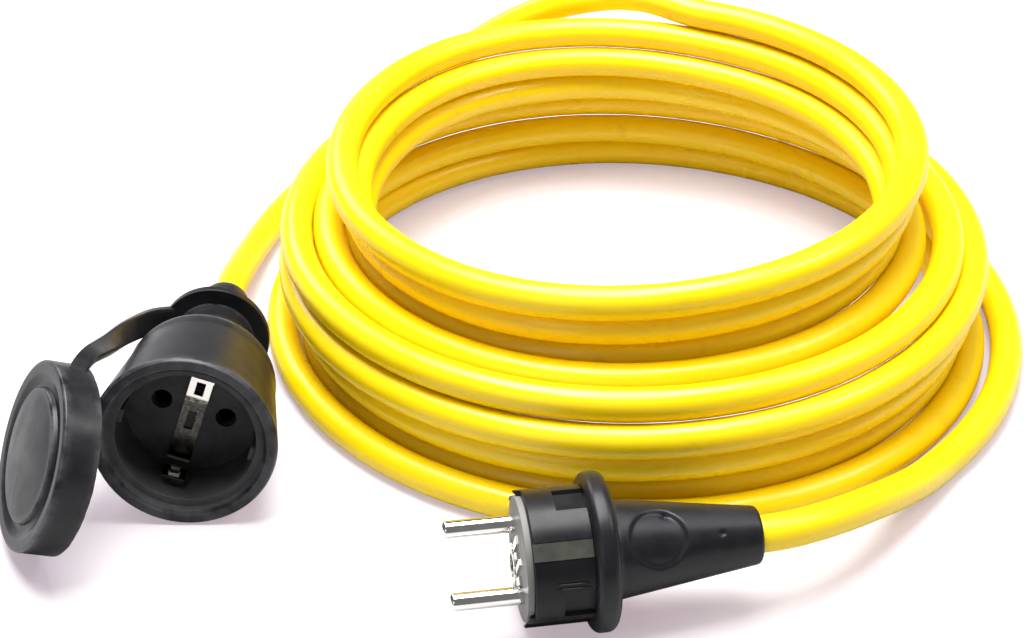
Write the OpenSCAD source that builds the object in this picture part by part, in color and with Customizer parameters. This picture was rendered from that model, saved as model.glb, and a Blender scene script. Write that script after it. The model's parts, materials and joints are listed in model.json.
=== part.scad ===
// Extension cord: a moulded plug, a pile of round flex and a coupler socket with a captive cap.
// The flex lies on the plane z = 0. The coupler's mouth looks towards -Y.

/* [Flex] */
// Outer diameter of the flex
cable_d = 9.5; // [9:0.1:10]
// Outer diameter of one insulated core
core_d = 3.2; // [2.8:0.1:3.4]

/* [Coil] */
// Number of loops in the pile
coil_loops = 9.2917; // [8.2917:1:10.2917]
// Radius of the lowest loop's centre line
coil_r = 124.4; // [118:0.2:130]
// How much narrower the pile is at its top
coil_taper = 34.8; // [28:0.2:38]
// How far each run swings in and out of the mean radius
coil_swing = 7.7; // [7:0.1:8.5]
// Number of inward and outward runs
coil_runs = 4; // [4:2:4]
// Clearance that each loop keeps to the loop below
loop_gap = 0.8; // [0.6:0.05:1]
// Centre of the lowest loop
coil_low_centre = [144.8, 75.3]; // [60:0.5:160]
// Centre of the topmost loop
coil_top_centre = [140, 82.8]; // [60:0.5:160]

/* [Plug] */
// Centre of the plug's front face on the ground plane
plug_at = [106.8, -73.1]; // [-200:0.5:200]
// Turn of the plug's axis away from +X
plug_yaw = 9; // [0:1:20]
// Lean of the line through both pins away from upright
pin_lean = 41; // [0:1:45]
// Pin diameter
pin_d = 4.8; // [4:0.1:4.8]
// Diameter of the pin's shank inside the face
pin_shank_d = 4.2; // [3.6:0.1:4.4]
// Length of pin that stands out of the face
pin_out = 19; // [17:0.5:19]
// Distance between the pins
pin_pitch = 19; // [18:0.5:20]
// Diameter of the plug's front body
plug_d = 36; // [35:0.5:37]
// Length of the front body, from the face to the flange
plug_l = 17.5; // [16:0.5:18]
// How far the contact carrier stands out of the front body
carrier_out = 1.8; // [1:0.1:3]
// Flange diameter
flange_d = 42.5; // [41:0.5:43]
// Flange thickness
flange_t = 6.5; // [5:0.5:8]
// Diameter of the tail where it leaves the flange
tail_root_d = 27; // [24:0.5:30]
// Diameter of the tail at the flex
tail_end_d = 15.4; // [14:0.2:17]
// Length of the tail behind the flange
tail_l = 40.5; // [36:0.5:46]
// Width of an earth strip
strip_w = 4.6; // [4:0.2:6]
// Thickness of an earth strip
strip_t = 0.8; // [0.6:0.1:1]
// Offset of the earth socket from the line of the pins
earth_offset = 10; // [9.5:0.1:10]
// Bore of the earth socket
earth_bore_d = 4.9; // [4.8:0.1:5]
// Wall of the earth socket
earth_wall = 0.6; // [0.5:0.1:0.7]

/* [Coupler] */
// Place of the coupler's mouth on the ground plane
mouth_at = [13.8, -29.2]; // [-100:0.5:100]
// Outer diameter of the mouth
mouth_d = 52.4; // [51:0.2:54]
// Diameter of the seat that takes a plug's flange
seat_d = 44.4; // [43.6:0.2:45]
// Depth of that seat
seat_l = 3; // [2:0.5:4]
// Diameter of the recess for a plug's body
recess_d = 39.6; // [39:0.2:40.4]
// Depth of the recess behind the seat
recess_l = 17.7; // [17.5:0.1:18.5]
// Outer diameter at the shoulder
shoulder_d = 44; // [43.4:0.2:45]
// Distance of the shoulder from the mouth
shoulder_z = 35; // [33:0.5:38]
// Distance of the neck groove from the mouth
groove_z = 65; // [62:0.5:68]
// Diameter of the neck groove
neck_d = 19.4; // [18:0.2:20]
// Diameter of the collar's stop behind the groove
stop_d = 25; // [23:0.5:27]
// Diameter of the gland at the flex
gland_d = 15; // [14:0.2:16]
// Length from the mouth to the gland's end
coupler_l = 92; // [86:0.5:100]
// Turn of the pin holes' line about the coupler's axis
socket_roll = 19; // [0:1:30]
// Bore of the sprung contact sleeves
sleeve_bore_d = 4.9; // [4.9:0.02:4.94]
// Wall of the contact sleeves
sleeve_wall = 0.65; // [0.5:0.05:0.8]
// Length of the contact sleeves
sleeve_l = 14; // [12:0.5:15]
// Width of the earth bridge
bridge_w = 6.6; // [6:0.2:7]
// Sheet thickness of the earth bridge
bridge_t = 0.8; // [0.6:0.1:1]

/* [Cap] */
// Outer diameter of the cap
cap_d = 53.3; // [52.5:0.1:54]
// Depth of the cap over its rim
cap_l = 10.6; // [10:0.2:12]
// Wall of the cap's skirt
cap_wall = 3.1; // [2.6:0.1:3.4]
// Chamfer inside the skirt's lip, which seats on the mouth's round edge
cap_lead = 2; // [1.6:0.1:2.2]
// Gap that the closed cap keeps to the mouth
cap_gap = 0.9; // [0.6:0.1:1.2]
// Thickness of the cap's face
cap_face = 2.6; // [2.2:0.1:3]
// Diameter of the raised disc on the face
cap_disc_d = 37.5; // [36:0.5:39]
// Angle at which the cap is laid open
cap_open = 81; // [76:0.5:90]
// Tilt of the axis that the cap turns about, away from upright
cap_tilt = 31; // [28:0.5:34]
// Place of the cap's pivot: sideways and behind the mouth
cap_pivot = [-18.7, 18]; // [-20:0.1:20]
// Height of the strap
strap_h = 7; // [6:0.2:8]
// Thickness of the strap
strap_t = 3; // [2.4:0.1:3.4]
// Thickness of the collar ring
collar_t = 3; // [2.4:0.1:3.4]
// Outer diameter of the collar ring
collar_d = 33.4; // [32:0.2:35]
// Clearance between pieces that move on each other
run_gap = 0.3; // [0.25:0.01:0.35]

/* [Hidden] */
$fn = 96;

rubber = [0.09, 0.09, 0.1];
hard_black = [0.12, 0.12, 0.13];
yellow = [0.99, 0.86, 0.08];
steel = [0.78, 0.78, 0.76];
brass = [0.82, 0.68, 0.36];

cable_r = cable_d / 2;
mouth_r = mouth_d / 2;
cap_r = cap_d / 2;
rim_round = 1.5;
// The housing lies on its tapered side
coupler_pitch = atan((mouth_r - shoulder_d / 2) / (shoulder_z - rim_round));
axis_z = mouth_r * cos(coupler_pitch) + rim_round * sin(coupler_pitch);
floor_z = seat_l + recess_l;
flange_r = flange_d / 2;
plug_r = plug_d / 2;
tail_z = plug_l + flange_t;
plug_end = tail_z + tail_l;

// ---- points and sweeps ----

function unit(v) = v / norm(v);
// A point on a circle of the XY plane
function polar(r, a) = [r * cos(a), r * sin(a)];
// An arc of points about c, from angle a to angle b
function arc(c, r, a, b, n = 8) = [for (i = [0:n]) c + polar(r, a + (b - a) * i / n)];
// Direction of the route at each point
function heading(p, i) = unit(p[min(i + 1, len(p) - 1)] - p[max(i - 1, 0)]);
// One ring of a tube, square to the route, with a corner at its lowest point
function ring(c, t, r, n) =
    let (side = unit(cross(t, [0, 0, 1])), up = cross(side, t))
    [for (k = [0:n - 1]) c + r * (sin(360 * k / n) * side - cos(360 * k / n) * up)];
// Triangles between rings of n points, and a fan over each end
function skin(rings, n) = concat(
    [for (i = [0:rings - 2], k = [0:n - 1]) [i * n + k, i * n + (k + 1) % n, (i + 1) * n + k]],
    [for (i = [0:rings - 2], k = [0:n - 1])
        [i * n + (k + 1) % n, (i + 1) * n + (k + 1) % n, (i + 1) * n + k]],
    [for (k = [1:n - 2]) [0, k + 1, k]],
    [for (k = [1:n - 2]) [(rings - 1) * n, (rings - 1) * n + k, (rings - 1) * n + k + 1]]);

// A closed tube along the points p, whose ends look along first and last
module tube(p, r, n, first, last) {
    m = len(p);
    dirs = [for (i = [0:m - 1]) i == 0 ? unit(first) : i == m - 1 ? unit(last) : heading(p, i)];
    corners = [for (i = [0:m - 1], q = ring(p[i], dirs[i], r, n)) q];
    polyhedron(corners, skin(m, n), convexity = 10);
}

// ---- the pile of loops ----
// Each loop lies on the loop below. The radius runs in and out at a steady rate, coil_runs
// times, and the loops climb where it reverses.

loop_steps = 24;
loop_pitch = cable_d + loop_gap;
coil_steps = round(coil_loops * loop_steps);
coil_start = -40;
coil_end = coil_start + 360 * coil_steps / loop_steps;
// Sharpness of the rounded triangle wave, and its phase in degrees
wave_edge = 0.93;
wave_phase = 51;

function wave(a) = asin(wave_edge * sin(a)) / asin(wave_edge);
function loop_r(t) = coil_r - coil_swing - coil_taper * t / coil_loops
    + coil_swing * wave(90 + wave_phase + (180 * coil_runs - wave_phase) * t / coil_loops);
function loop_centre(t) = coil_low_centre + (coil_top_centre - coil_low_centre) * t / coil_loops;
plan = [for (i = [0:coil_steps])
    let (t = i / loop_steps) loop_centre(t) + polar(loop_r(t), 360 * t + coil_start)];
// How far a loop rises over the loop below, so that their centre lines stay a pitch apart
rise = [for (i = [0:coil_steps - loop_steps])
    let (s = norm(plan[i + loop_steps] - plan[i])) sqrt(max(pow(loop_pitch, 2) - s * s, 0))];
function mean(v, a, b) = [for (i = [a:b]) 1] * [for (i = [a:b]) v[i]] / (b - a + 1);
soft_rise = [for (i = [0:len(rise) - 1])
    i == 0 ? rise[0] : mean(rise, max(i - 2, 0), min(i + 2, len(rise) - 1))];
function loop_z(i) = i < loop_steps ? cable_r : loop_z(i - loop_steps) + soft_rise[i - loop_steps];
loops = [for (i = [0:coil_steps]) [plan[i][0], plan[i][1], loop_z(i)]];
coil_first_dir = [-sin(coil_start), cos(coil_start), 0];
coil_last_dir = [-sin(coil_end), cos(coil_end), 0];
coil_from = loops[0] - cable_d * coil_first_dir;
coil_to = loops[coil_steps] + cable_d * coil_last_dir;
coil_line = concat([coil_from], loops, [coil_to]);
// Least gap between points of different turns, less the flex's own thickness
loop_gap_least = min([for (i = [0:coil_steps - loop_steps / 2])
    min([for (j = [i + loop_steps / 2:min(i + 3 * loop_steps, coil_steps)])
        norm(loops[j] - loops[i])])]) - cable_d;
echo(least_gap_between_loops = loop_gap_least);

module cable_coil() {
    color(yellow) tube(coil_line, cable_r, 6, coil_first_dir, coil_last_dir);
}

// ---- frames of the coupler and the plug ----
// Inside each, z runs from the mouth or face towards the flex.

module at_coupler() {
    translate([mouth_at[0], mouth_at[1], axis_z]) rotate([-90 - coupler_pitch, 0, 0]) children();
}
module at_plug() {
    translate([plug_at[0], plug_at[1], flange_r]) rotate([0, 0, plug_yaw]) rotate([0, 90, 0])
        rotate([0, 0, 90 + pin_lean]) children();
}
function coupler_point(x, up, z) = [
    mouth_at[0] + x,
    mouth_at[1] + z * cos(coupler_pitch) + up * sin(coupler_pitch),
    axis_z - z * sin(coupler_pitch) + up * cos(coupler_pitch)];
coupler_dir = [0, cos(coupler_pitch), -sin(coupler_pitch)];
plug_dir = [cos(plug_yaw), sin(plug_yaw), 0];
plug_tail = [plug_at[0], plug_at[1], flange_r] + plug_end * plug_dir;

// ---- free stretches of flex ----

lead_sides = 10;
plug_lead_points = [[186.3, -56.7, 20], [200.3, -45.7, 16.5], [212.7, -32.7, 11.5], [222.7, -20.7, 7.2]];
coupler_lead_points = [
    [153.3, 175.3, 69], [134.3, 182.8, 66], [113.3, 189.8, 57], [92.3, 191.8, 44],
    [72.3, 188.8, 28], [53.3, 178.8, 14.5], [36.3, 160.8, 6.5], [24.3, 136.8, 4.8],
    [17.7, 110.6, 6.4], [14.9, 86.1, 11]];

module cable_lead_plug() {
    color(yellow)
        tube(concat([plug_tail], plug_lead_points, [coil_from]), cable_r, lead_sides,
            plug_dir, coil_first_dir);
}
module cable_lead_coupler() {
    color(yellow)
        tube(concat([coil_to], coupler_lead_points, [coupler_point(0, 0, coupler_l)]),
            cable_r, lead_sides, coil_last_dir, -coupler_dir);
}

// ---- shared small pieces ----

crimp_d = 4;
crimp_l = 6.5;
crimp_seat_l = 3;
tail_pin_d = 2;

// A crimp barrel: it grips a contact's tail in front and a core behind
module crimp() {
    difference() {
        cylinder(d = crimp_d, h = crimp_l);
        translate([0, 0, -1]) cylinder(d = tail_pin_d, h = crimp_seat_l + 1);
    }
}
// A core that bends from a crimp at a to the sheath's cut end at b
module core(a, b) {
    h = (b[2] - a[2]) / 3;
    p = [a, a + [0, 0, h * 0.7], (a + b) / 2, b - [0, 0, h * 0.7], b];
    m = len(p);
    n = 8;
    corners = [for (i = [0:m - 1], k = [0:n - 1]) p[i] + core_d / 2 * [cos(360 * k / n), sin(360 * k / n), 0]];
    polyhedron(corners, [for (f = skin(m, n)) [f[0], f[2], f[1]]], convexity = 4);
}
// Places of the three cores in the sheath's cut end
function core_place(k, z) = let (c = polar(core_d * 0.62, 90 + 120 * k)) [c[0], c[1], z];

// ---- coupler ----

insert_t = 7;
insert_d = recess_d + 2;
entry_l = 2.4;
entry_d = sleeve_bore_d + 1.1;
sleeve_z = floor_z + entry_l;
sleeve_d = sleeve_bore_d + 2 * sleeve_wall;
tower_d = sleeve_d + 3;
tower_end = sleeve_z + sleeve_l + 2;
cover_t = 2;
cover_lap = 2;
chamber_d = pin_pitch + tower_d + 2 * cover_lap;
chamber_end = tower_end + cover_t + crimp_l + 1;
crimp_room_d = pin_pitch + crimp_d + 2;
shoulder_round = 9;
sheath_z = chamber_end + 7;
groove_l = collar_t + 2 * run_gap;
groove_end = groove_z + groove_l;
earth_tail = -7;
// Rings that stop the collar, and the foot of the gland
stop_land = 5;
stop_blend = 3;
stop_t = 1.6;
stop_bevel = 1;
gland_foot = 1.6;
gland_round = 1;

// Outline of the housing in half section
function housing_outline() = concat(
    [[0, 0]], arc([mouth_r - rim_round, rim_round], rim_round, -90, 0, 4),
    arc([shoulder_d / 2, shoulder_z] - polar(shoulder_round, coupler_pitch), shoulder_round,
        coupler_pitch, 62, 8),
    [[stop_d / 2 + stop_bevel, groove_z - stop_land - stop_blend], [stop_d / 2, groove_z - stop_land],
     [stop_d / 2, groove_z], [neck_d / 2, groove_z], [neck_d / 2, groove_end], [stop_d / 2, groove_end],
     [stop_d / 2, groove_end + stop_t], [stop_d / 2 - 1.5 * stop_bevel, groove_end + stop_t + stop_bevel],
     [gland_d / 2 + gland_foot, groove_end + stop_t + 1.8 * stop_bevel]],
    arc([gland_d / 2 - gland_round, coupler_l - gland_round], gland_round, 0, 90, 4),
    [[0, coupler_l]]);

module coupler_housing() {
    color(rubber) at_coupler() difference() {
        rotate_extrude() polygon(housing_outline());
        translate([0, 0, -1]) cylinder(d = seat_d, h = seat_l + 1);
        cylinder(d1 = seat_d + 1.6, d2 = seat_d, h = 0.8);
        cylinder(d = recess_d, h = floor_z + 1);
        translate([0, 0, floor_z]) cylinder(d = insert_d, h = insert_t);
        translate([0, 0, floor_z]) cylinder(d = chamber_d, h = tower_end + cover_t - floor_z);
        translate([0, 0, floor_z]) cylinder(d = crimp_room_d, h = chamber_end - floor_z);
        translate([0, 0, chamber_end])
            cylinder(d1 = crimp_room_d, d2 = cable_d + 4, h = sheath_z - chamber_end);
        translate([0, 0, sheath_z - 1]) cylinder(d = cable_d, h = coupler_l);
    }
}

// Turns to the line of the pin holes: x runs along it
module on_pins() {
    rotate([0, 0, socket_roll]) children();
}
module each_pin_hole() {
    for (s = [-1, 1]) translate([s * pin_pitch / 2, 0, 0]) children();
}

guide_w = 4;
guide_h = 1.5;
module coupler_insert() {
    color(hard_black) at_coupler() on_pins() difference() {
        union() {
            translate([0, 0, floor_z]) cylinder(d = insert_d, h = insert_t);
            each_pin_hole() translate([0, 0, floor_z]) cylinder(d = tower_d, h = tower_end - floor_z);
            for (s = [-1, 1]) intersection() {
                translate([s * (recess_d / 2 - guide_h / 2), 0, seat_l + 2 + (recess_l - 1) / 2])
                    cube([guide_h, guide_w, recess_l - 1], center = true);
                translate([0, 0, seat_l + 1]) cylinder(d = recess_d, h = recess_l);
            }
        }
        each_pin_hole() translate([0, 0, floor_z - 1]) cylinder(d = entry_d, h = insert_t);
        each_pin_hole() translate([0, 0, sleeve_z]) cylinder(d = sleeve_d, h = tower_end);
        translate([0, earth_tail, floor_z - 1]) cylinder(d = tail_pin_d, h = insert_t + 2);
    }
}

// Sleeve, closed at the back, with a tail for its crimp
module socket_contact(s) {
    color(brass) at_coupler() on_pins() translate([s * pin_pitch / 2, 0, sleeve_z]) {
        difference() {
            cylinder(d = sleeve_d, h = sleeve_l + 1.5);
            translate([0, 0, -1]) cylinder(d = sleeve_bore_d, h = sleeve_l + 1);
        }
        translate([0, 0, sleeve_l + 1.5])
            cylinder(d = tail_pin_d, h = tower_end + cover_t + crimp_seat_l - sleeve_z - sleeve_l - 1.5);
    }
}
module socket_live() { socket_contact(-1); }
module socket_neutral() { socket_contact(1); }

// Strip across the recess floor, with a spring tongue up each side wall
tongue_l = 13;
tongue_gap = 1.9;
tongue_bow = 2.2;
tongue_lip = 1;
tail_pad = 2.6;
plate_y = -11;
plate_l = 7;
plate_h = 1;
plate_slot = [2.6, 4.2];
strip_slot = [2.4, 6];
strip_slot_y = 0.6;
tongue_slot = [2.4, 4.5];
tongue_rim = 1.6;
module coupler_earth_bridge() {
    half = recess_d / 2 - tongue_gap;
    slots_z = -bridge_t - plate_h - 1;
    slots_h = bridge_t + plate_h + 2;
    // side view: y along the strip, z forward of the floor
    side = [
        [-half, -bridge_t], [-half, -tongue_l * 0.5], [-half + tongue_bow, -tongue_l * 0.72],
        [-half + tongue_lip, -tongue_l], [-half + tongue_lip + bridge_t, -tongue_l],
        [-half + tongue_bow + bridge_t * 1.1, -tongue_l * 0.72],
        [-half + bridge_t, -tongue_l * 0.48], [-half + bridge_t, -bridge_t]];
    color(steel) at_coupler() on_pins() translate([0, 0, floor_z]) {
        difference() {
            union() {
                translate([-bridge_w / 2, -half, -bridge_t]) cube([bridge_w, 2 * half, bridge_t]);
                for (s = [0, 1]) mirror([0, s, 0])
                    translate([-bridge_w / 2, 0, 0]) rotate([90, 0, 90]) linear_extrude(bridge_w) polygon(side);
                translate([-bridge_w / 2, plate_y, -bridge_t - plate_h]) cube([bridge_w, plate_l, plate_h]);
            }
            translate([-plate_slot[0] / 2, plate_y + (plate_l - plate_slot[1]) / 2, slots_z])
                cube([plate_slot[0], plate_slot[1], slots_h]);
            translate([-strip_slot[0] / 2, strip_slot_y, slots_z]) cube([strip_slot[0], strip_slot[1], slots_h]);
            translate([-tongue_slot[0] / 2, half - 2 * tongue_bow, tongue_rim - tongue_l])
                cube([tongue_slot[0], 3 * tongue_bow, tongue_slot[1]]);
        }
        translate([0, earth_tail, 0]) cylinder(d = tail_pin_d, h = tower_end + cover_t + crimp_seat_l - floor_z);
        translate([-tail_pad / 2, earth_tail - tail_pad / 2, -bridge_t]) cube([tail_pad, tail_pad, bridge_t]);
    }
}

module coupler_back_cover() {
    color(hard_black) at_coupler() on_pins() translate([0, 0, tower_end]) difference() {
        cylinder(d = chamber_d, h = cover_t);
        each_pin_hole() translate([0, 0, -1]) cylinder(d = tail_pin_d, h = cover_t + 2);
        translate([0, earth_tail, -1]) cylinder(d = tail_pin_d, h = cover_t + 2);
    }
}

coupler_crimp_places = [[-pin_pitch / 2, 0], [pin_pitch / 2, 0], [0, earth_tail]];
module coupler_crimps() {
    color(brass) at_coupler() on_pins() for (c = coupler_crimp_places)
        translate([c[0], c[1], tower_end + cover_t]) crimp();
}
module coupler_core(k, place, shade) {
    a = coupler_crimp_places[k];
    color(shade) at_coupler() on_pins()
        core([a[0], a[1], tower_end + cover_t + crimp_l], core_place(place, sheath_z));
}
module coupler_core_live() { coupler_core(0, 1, [0.42, 0.24, 0.12]); }
module coupler_core_neutral() { coupler_core(1, 2, [0.12, 0.35, 0.7]); }
module coupler_core_earth() { coupler_core(2, 0, [0.55, 0.72, 0.15]); }
module coupler_sheath_end() {
    color(yellow) at_coupler() translate([0, 0, sheath_z]) cylinder(d = cable_d, h = coupler_l - sheath_z);
}

// ---- cap, strap and collar ----

// Laid open: turned about the pivot beside the mouth
module cap_laid_open() {
    translate([cap_pivot[0], 0, cap_pivot[1]]) rotate(cap_open, [0, cos(cap_tilt), sin(cap_tilt)])
        translate([-cap_pivot[0], 0, -cap_pivot[1]]) children();
}
edge_r = 1.6;
dish = 1.2;
disc_r = cap_disc_d / 2;
// Half section of the cap: z = 0 is its rim, -cap_l its face
function cap_outline() = concat(
    [[0, cap_face - cap_l], [cap_r - cap_wall, cap_face - cap_l], [cap_r - cap_wall, -cap_lead],
     [cap_r - cap_wall + cap_lead, 0], [cap_r, 0]],
    arc([cap_r - edge_r, -cap_l + edge_r], edge_r, 0, -90, 6),
    [[cap_r - 3.4, -cap_l], [disc_r + 1.6, -cap_l + dish], [disc_r + 0.3, -cap_l + dish],
     [disc_r - 0.2, -cap_l - 0.5], [disc_r - 1.2, -cap_l - 1], [disc_r * 0.6, -cap_l - 1.5], [0, -cap_l - 1.7]]);
module sealing_cap() {
    color(rubber) at_coupler() cap_laid_open() translate([0, 0, -cap_gap]) rotate_extrude()
        polygon(cap_outline());
}

lug_w = 4;
lug_out = 2.5;
lug_turn = 40;
module strap_collar() {
    neck_hole = neck_d + 2 * run_gap;
    color(rubber) at_coupler() translate([0, 0, groove_z + run_gap]) linear_extrude(collar_t) difference() {
        union() {
            circle(d = collar_d);
            rotate(lug_turn) translate([0, -lug_w / 2]) square([collar_d / 2 + lug_out, lug_w]);
        }
        circle(d = neck_hole);
    }
}

// Points are sideways, up and behind the mouth. The strap stands on edge at the collar and turns
// by the last number, in degrees, until it lies flat at the cap.
strap_points = [
    [-12.6, 10.5, 67.5, 0], [-16, 11.5, 62, 0], [-19.4, 13.3, 52.5, -10], [-22.2, 15.4, 42, -25],
    [-24.4, 18.6, 26, -45], [-26, 22.2, 11, -62], [-26.6, 24.4, 2.5, -70], [-26.7, 25.3, -2.5, -73]];
module cap_strap() {
    p = [for (q = strap_points) [q[0], -q[1], q[2]]];
    m = len(p);
    corners = [for (i = [0:m - 1])
        let (t = heading(p, i), side = unit(cross(t, [0, 1, 0])), up = cross(side, t), roll = strap_points[i][3],
             w = cos(roll) * side + sin(roll) * up, h = cos(roll) * up - sin(roll) * side)
        for (c = [[-1, -0.7], [-0.4, -1], [0.4, -1], [1, -0.7], [1, 0.7], [0.4, 1], [-0.4, 1], [-1, 0.7]])
            p[i] + c[0] * strap_t / 2 * w + c[1] * strap_h / 2 * h];
    color(rubber) at_coupler() difference() {
        polyhedron(corners, skin(m, 8), convexity = 4);
        cap_laid_open() translate([0, 0, -cap_gap - cap_l - 5]) cylinder(d = cap_d + 2 * run_gap, h = cap_l + 5);
        translate([0, 0, groove_z - 1]) cylinder(d = collar_d, h = collar_t + 6);
    }
}

// ---- plug ----
// x runs along the line of the pins, +y to the side that the near earth strip is on.

clip_bar_z = 12.5;
pin_inner = 12;
plug_crimp_z = clip_bar_z + strip_t;
earth_crimp_y = 6;
plug_sheath_z = tail_z + 8;
carrier_d = plug_d - 3;
carrier_core_d = 27;
plug_chamber_d = 24.5;

module each_plug_pin() {
    for (s = [-1, 1]) translate([s * pin_pitch / 2, 0, 0]) children();
}
module plug_pin(s) {
    tip = 1.6;
    color(steel) at_plug() translate([s * pin_pitch / 2, 0, 0]) {
        rotate_extrude() polygon(concat(
            [[0, -pin_out]], arc([pin_d / 2 - tip, -pin_out + tip], tip, -90, 0, 6),
            [[pin_d / 2, 0], [pin_shank_d / 2, 0], [pin_shank_d / 2, pin_inner], [0, pin_inner]]));
        translate([0, 0, pin_inner]) cylinder(d = tail_pin_d, h = plug_crimp_z + crimp_seat_l - pin_inner);
    }
}
module pin_live() { plug_pin(1); }
module pin_neutral() { plug_pin(-1); }

pocket_w = 8.5;
pocket_l = 8;
pocket_deep = 1.3;
notch_w = 7;
notch_deep = 2.2;
module plug_body() {
    color(hard_black) at_plug() difference() {
        translate([0, 0, carrier_out]) cylinder(d = plug_d, h = plug_l - carrier_out);
        translate([0, 0, carrier_out - 1]) cylinder(d = carrier_core_d, h = plug_l + 2);
        for (s = [-1, 1]) {
            // guide notches in line with the pins
            translate([s * (plug_r - notch_deep / 2 + 1), 0, plug_l / 2])
                cube([notch_deep + 2, notch_w, plug_l + 2], center = true);
            // seats of the earth strips
            translate([-strip_w / 2, s > 0 ? plug_r - strip_t : -plug_r - 1, 0])
                cube([strip_w, strip_t + 1, plug_l + 1]);
            // pockets beside the strips
            for (a = [-1, 1]) rotate([0, 0, a * 50])
                translate([-pocket_w / 2, s > 0 ? plug_r - pocket_deep : -plug_r - 1, plug_l - pocket_l])
                    cube([pocket_w, pocket_deep + 1, pocket_l + 1]);
        }
        // passage of the bar that joins the strips
        translate([-strip_w / 2, -plug_r, clip_bar_z]) cube([strip_w, plug_d, strip_t]);
    }
}
module plug_face_insert() {
    color([0.72, 0.72, 0.7]) at_plug() difference() {
        union() {
            cylinder(d = carrier_d, h = carrier_out);
            cylinder(d = carrier_core_d, h = pin_inner);
        }
        each_plug_pin() translate([0, 0, -1]) cylinder(d = pin_shank_d, h = pin_inner + 2);
        translate([0, -earth_offset, -1]) cylinder(d = earth_bore_d + 2 * earth_wall, h = pin_inner + 2);
    }
}
module plug_earth_clips() {
    color([0.5, 0.5, 0.44]) at_plug() union() {
        for (s = [0, 1]) mirror([0, s, 0])
            translate([-strip_w / 2, plug_r - strip_t, carrier_out]) cube([strip_w, strip_t, plug_l - carrier_out - 0.2]);
        translate([-strip_w / 2, -plug_r + strip_t / 2, clip_bar_z]) cube([strip_w, plug_d - strip_t, strip_t]);
        translate([0, earth_crimp_y, clip_bar_z]) cylinder(d = tail_pin_d, h = strip_t + crimp_seat_l);
    }
}
module plug_earth_socket() {
    color(brass) at_plug() translate([0, -earth_offset, 0.4]) difference() {
        cylinder(d = earth_bore_d + 2 * earth_wall, h = clip_bar_z - 0.4);
        translate([0, 0, -1]) cylinder(d = earth_bore_d, h = clip_bar_z - 1);
    }
}

// Tail outline: a straight taper that flares into the flange
function plug_outline() = concat(
    [[0, plug_l]], arc([flange_r - 2.2, plug_l + 2.2], 2.2, -90, 0, 6),
    arc([flange_r - 2.6, tail_z - 2.6], 2.6, 0, 90, 6),
    arc([tail_root_d / 2 + 1.5, tail_z + 1.5], 1.5, -90, -172, 4),
    arc([tail_end_d / 2 - 1.2, plug_end - 1.2], 1.2, 4, 90, 4),
    [[0, plug_end]]);
recess_mark_d = 15.5;
recess_mark_z = plug_l + 18;
module plug_housing() {
    color(rubber) at_plug() difference() {
        rotate_extrude() polygon(plug_outline());
        translate([0, 0, plug_l - 1]) cylinder(d = plug_chamber_d, h = 7);
        translate([0, 0, plug_l + 6]) cylinder(d1 = plug_chamber_d, d2 = cable_d + 2, h = plug_sheath_z - plug_l - 6);
        translate([0, 0, plug_sheath_z - 1]) cylinder(d = cable_d, h = tail_l);
        // shallow round recess on the near side
        for (s = [-1, 1]) translate([0, s * (tail_root_d / 2 - 2.6), recess_mark_z]) rotate([-s * 90, 0, 0])
            cylinder(d = recess_mark_d, h = 8);
    }
}
plug_crimp_places = [[pin_pitch / 2, 0], [-pin_pitch / 2, 0], [0, earth_crimp_y]];
module plug_crimps() {
    color(brass) at_plug() for (c = plug_crimp_places) translate([c[0], c[1], plug_crimp_z]) crimp();
}
module plug_core(k, place, shade) {
    a = plug_crimp_places[k];
    color(shade) at_plug() core([a[0], a[1], plug_crimp_z + crimp_l], core_place(place, plug_sheath_z));
}
module plug_core_live() { plug_core(0, 2, [0.42, 0.24, 0.12]); }
module plug_core_neutral() { plug_core(1, 1, [0.12, 0.35, 0.7]); }
module plug_core_earth() { plug_core(2, 0, [0.55, 0.72, 0.15]); }
module plug_sheath_end() {
    color(yellow) at_plug() translate([0, 0, plug_sheath_z]) cylinder(d = cable_d, h = plug_end - plug_sheath_z);
}

coupler_housing();
coupler_insert();
coupler_earth_bridge();
socket_live();
socket_neutral();
coupler_back_cover();
coupler_crimps();
coupler_core_live();
coupler_core_neutral();
coupler_core_earth();
coupler_sheath_end();
strap_collar();
cap_strap();
sealing_cap();
plug_housing();
plug_body();
plug_face_insert();
pin_live();
pin_neutral();
plug_earth_clips();
plug_earth_socket();
plug_crimps();
plug_core_live();
plug_core_neutral();
plug_core_earth();
plug_sheath_end();
cable_coil();
cable_lead_plug();
cable_lead_coupler();
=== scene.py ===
"""Extension cord: a pile of yellow flex, a moulded plug and a coupler socket with a captive cap.

Every piece is worked out as a surface of two parameters: a section carried along a line, or a
profile turned round an axis. Sizes are in millimetres and are scaled to metres when they are placed.
"""

import json
import math

import bmesh
import bpy
import numpy as np
from bpy.props import FloatProperty, FloatVectorProperty, IntProperty, PointerProperty
from mathutils import Matrix, Vector


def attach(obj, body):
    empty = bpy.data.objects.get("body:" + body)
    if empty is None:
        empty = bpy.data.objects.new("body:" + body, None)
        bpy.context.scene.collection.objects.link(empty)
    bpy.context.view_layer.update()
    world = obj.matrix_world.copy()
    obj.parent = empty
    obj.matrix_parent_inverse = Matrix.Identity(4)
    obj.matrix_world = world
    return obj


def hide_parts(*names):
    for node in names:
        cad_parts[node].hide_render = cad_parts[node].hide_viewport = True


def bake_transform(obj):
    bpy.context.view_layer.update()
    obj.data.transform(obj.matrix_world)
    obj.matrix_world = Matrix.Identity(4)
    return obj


bl_info = {
    "name": "Extension Cord",
    "version": (1, 0, 0),
    "blender": (4, 5, 0),
    "location": "3D View > Sidebar > Cord",
    "description": "Builds an extension cord with its plug, coupler socket and captive cap",
    "category": "Add Mesh",
}

MM = 0.001

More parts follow.
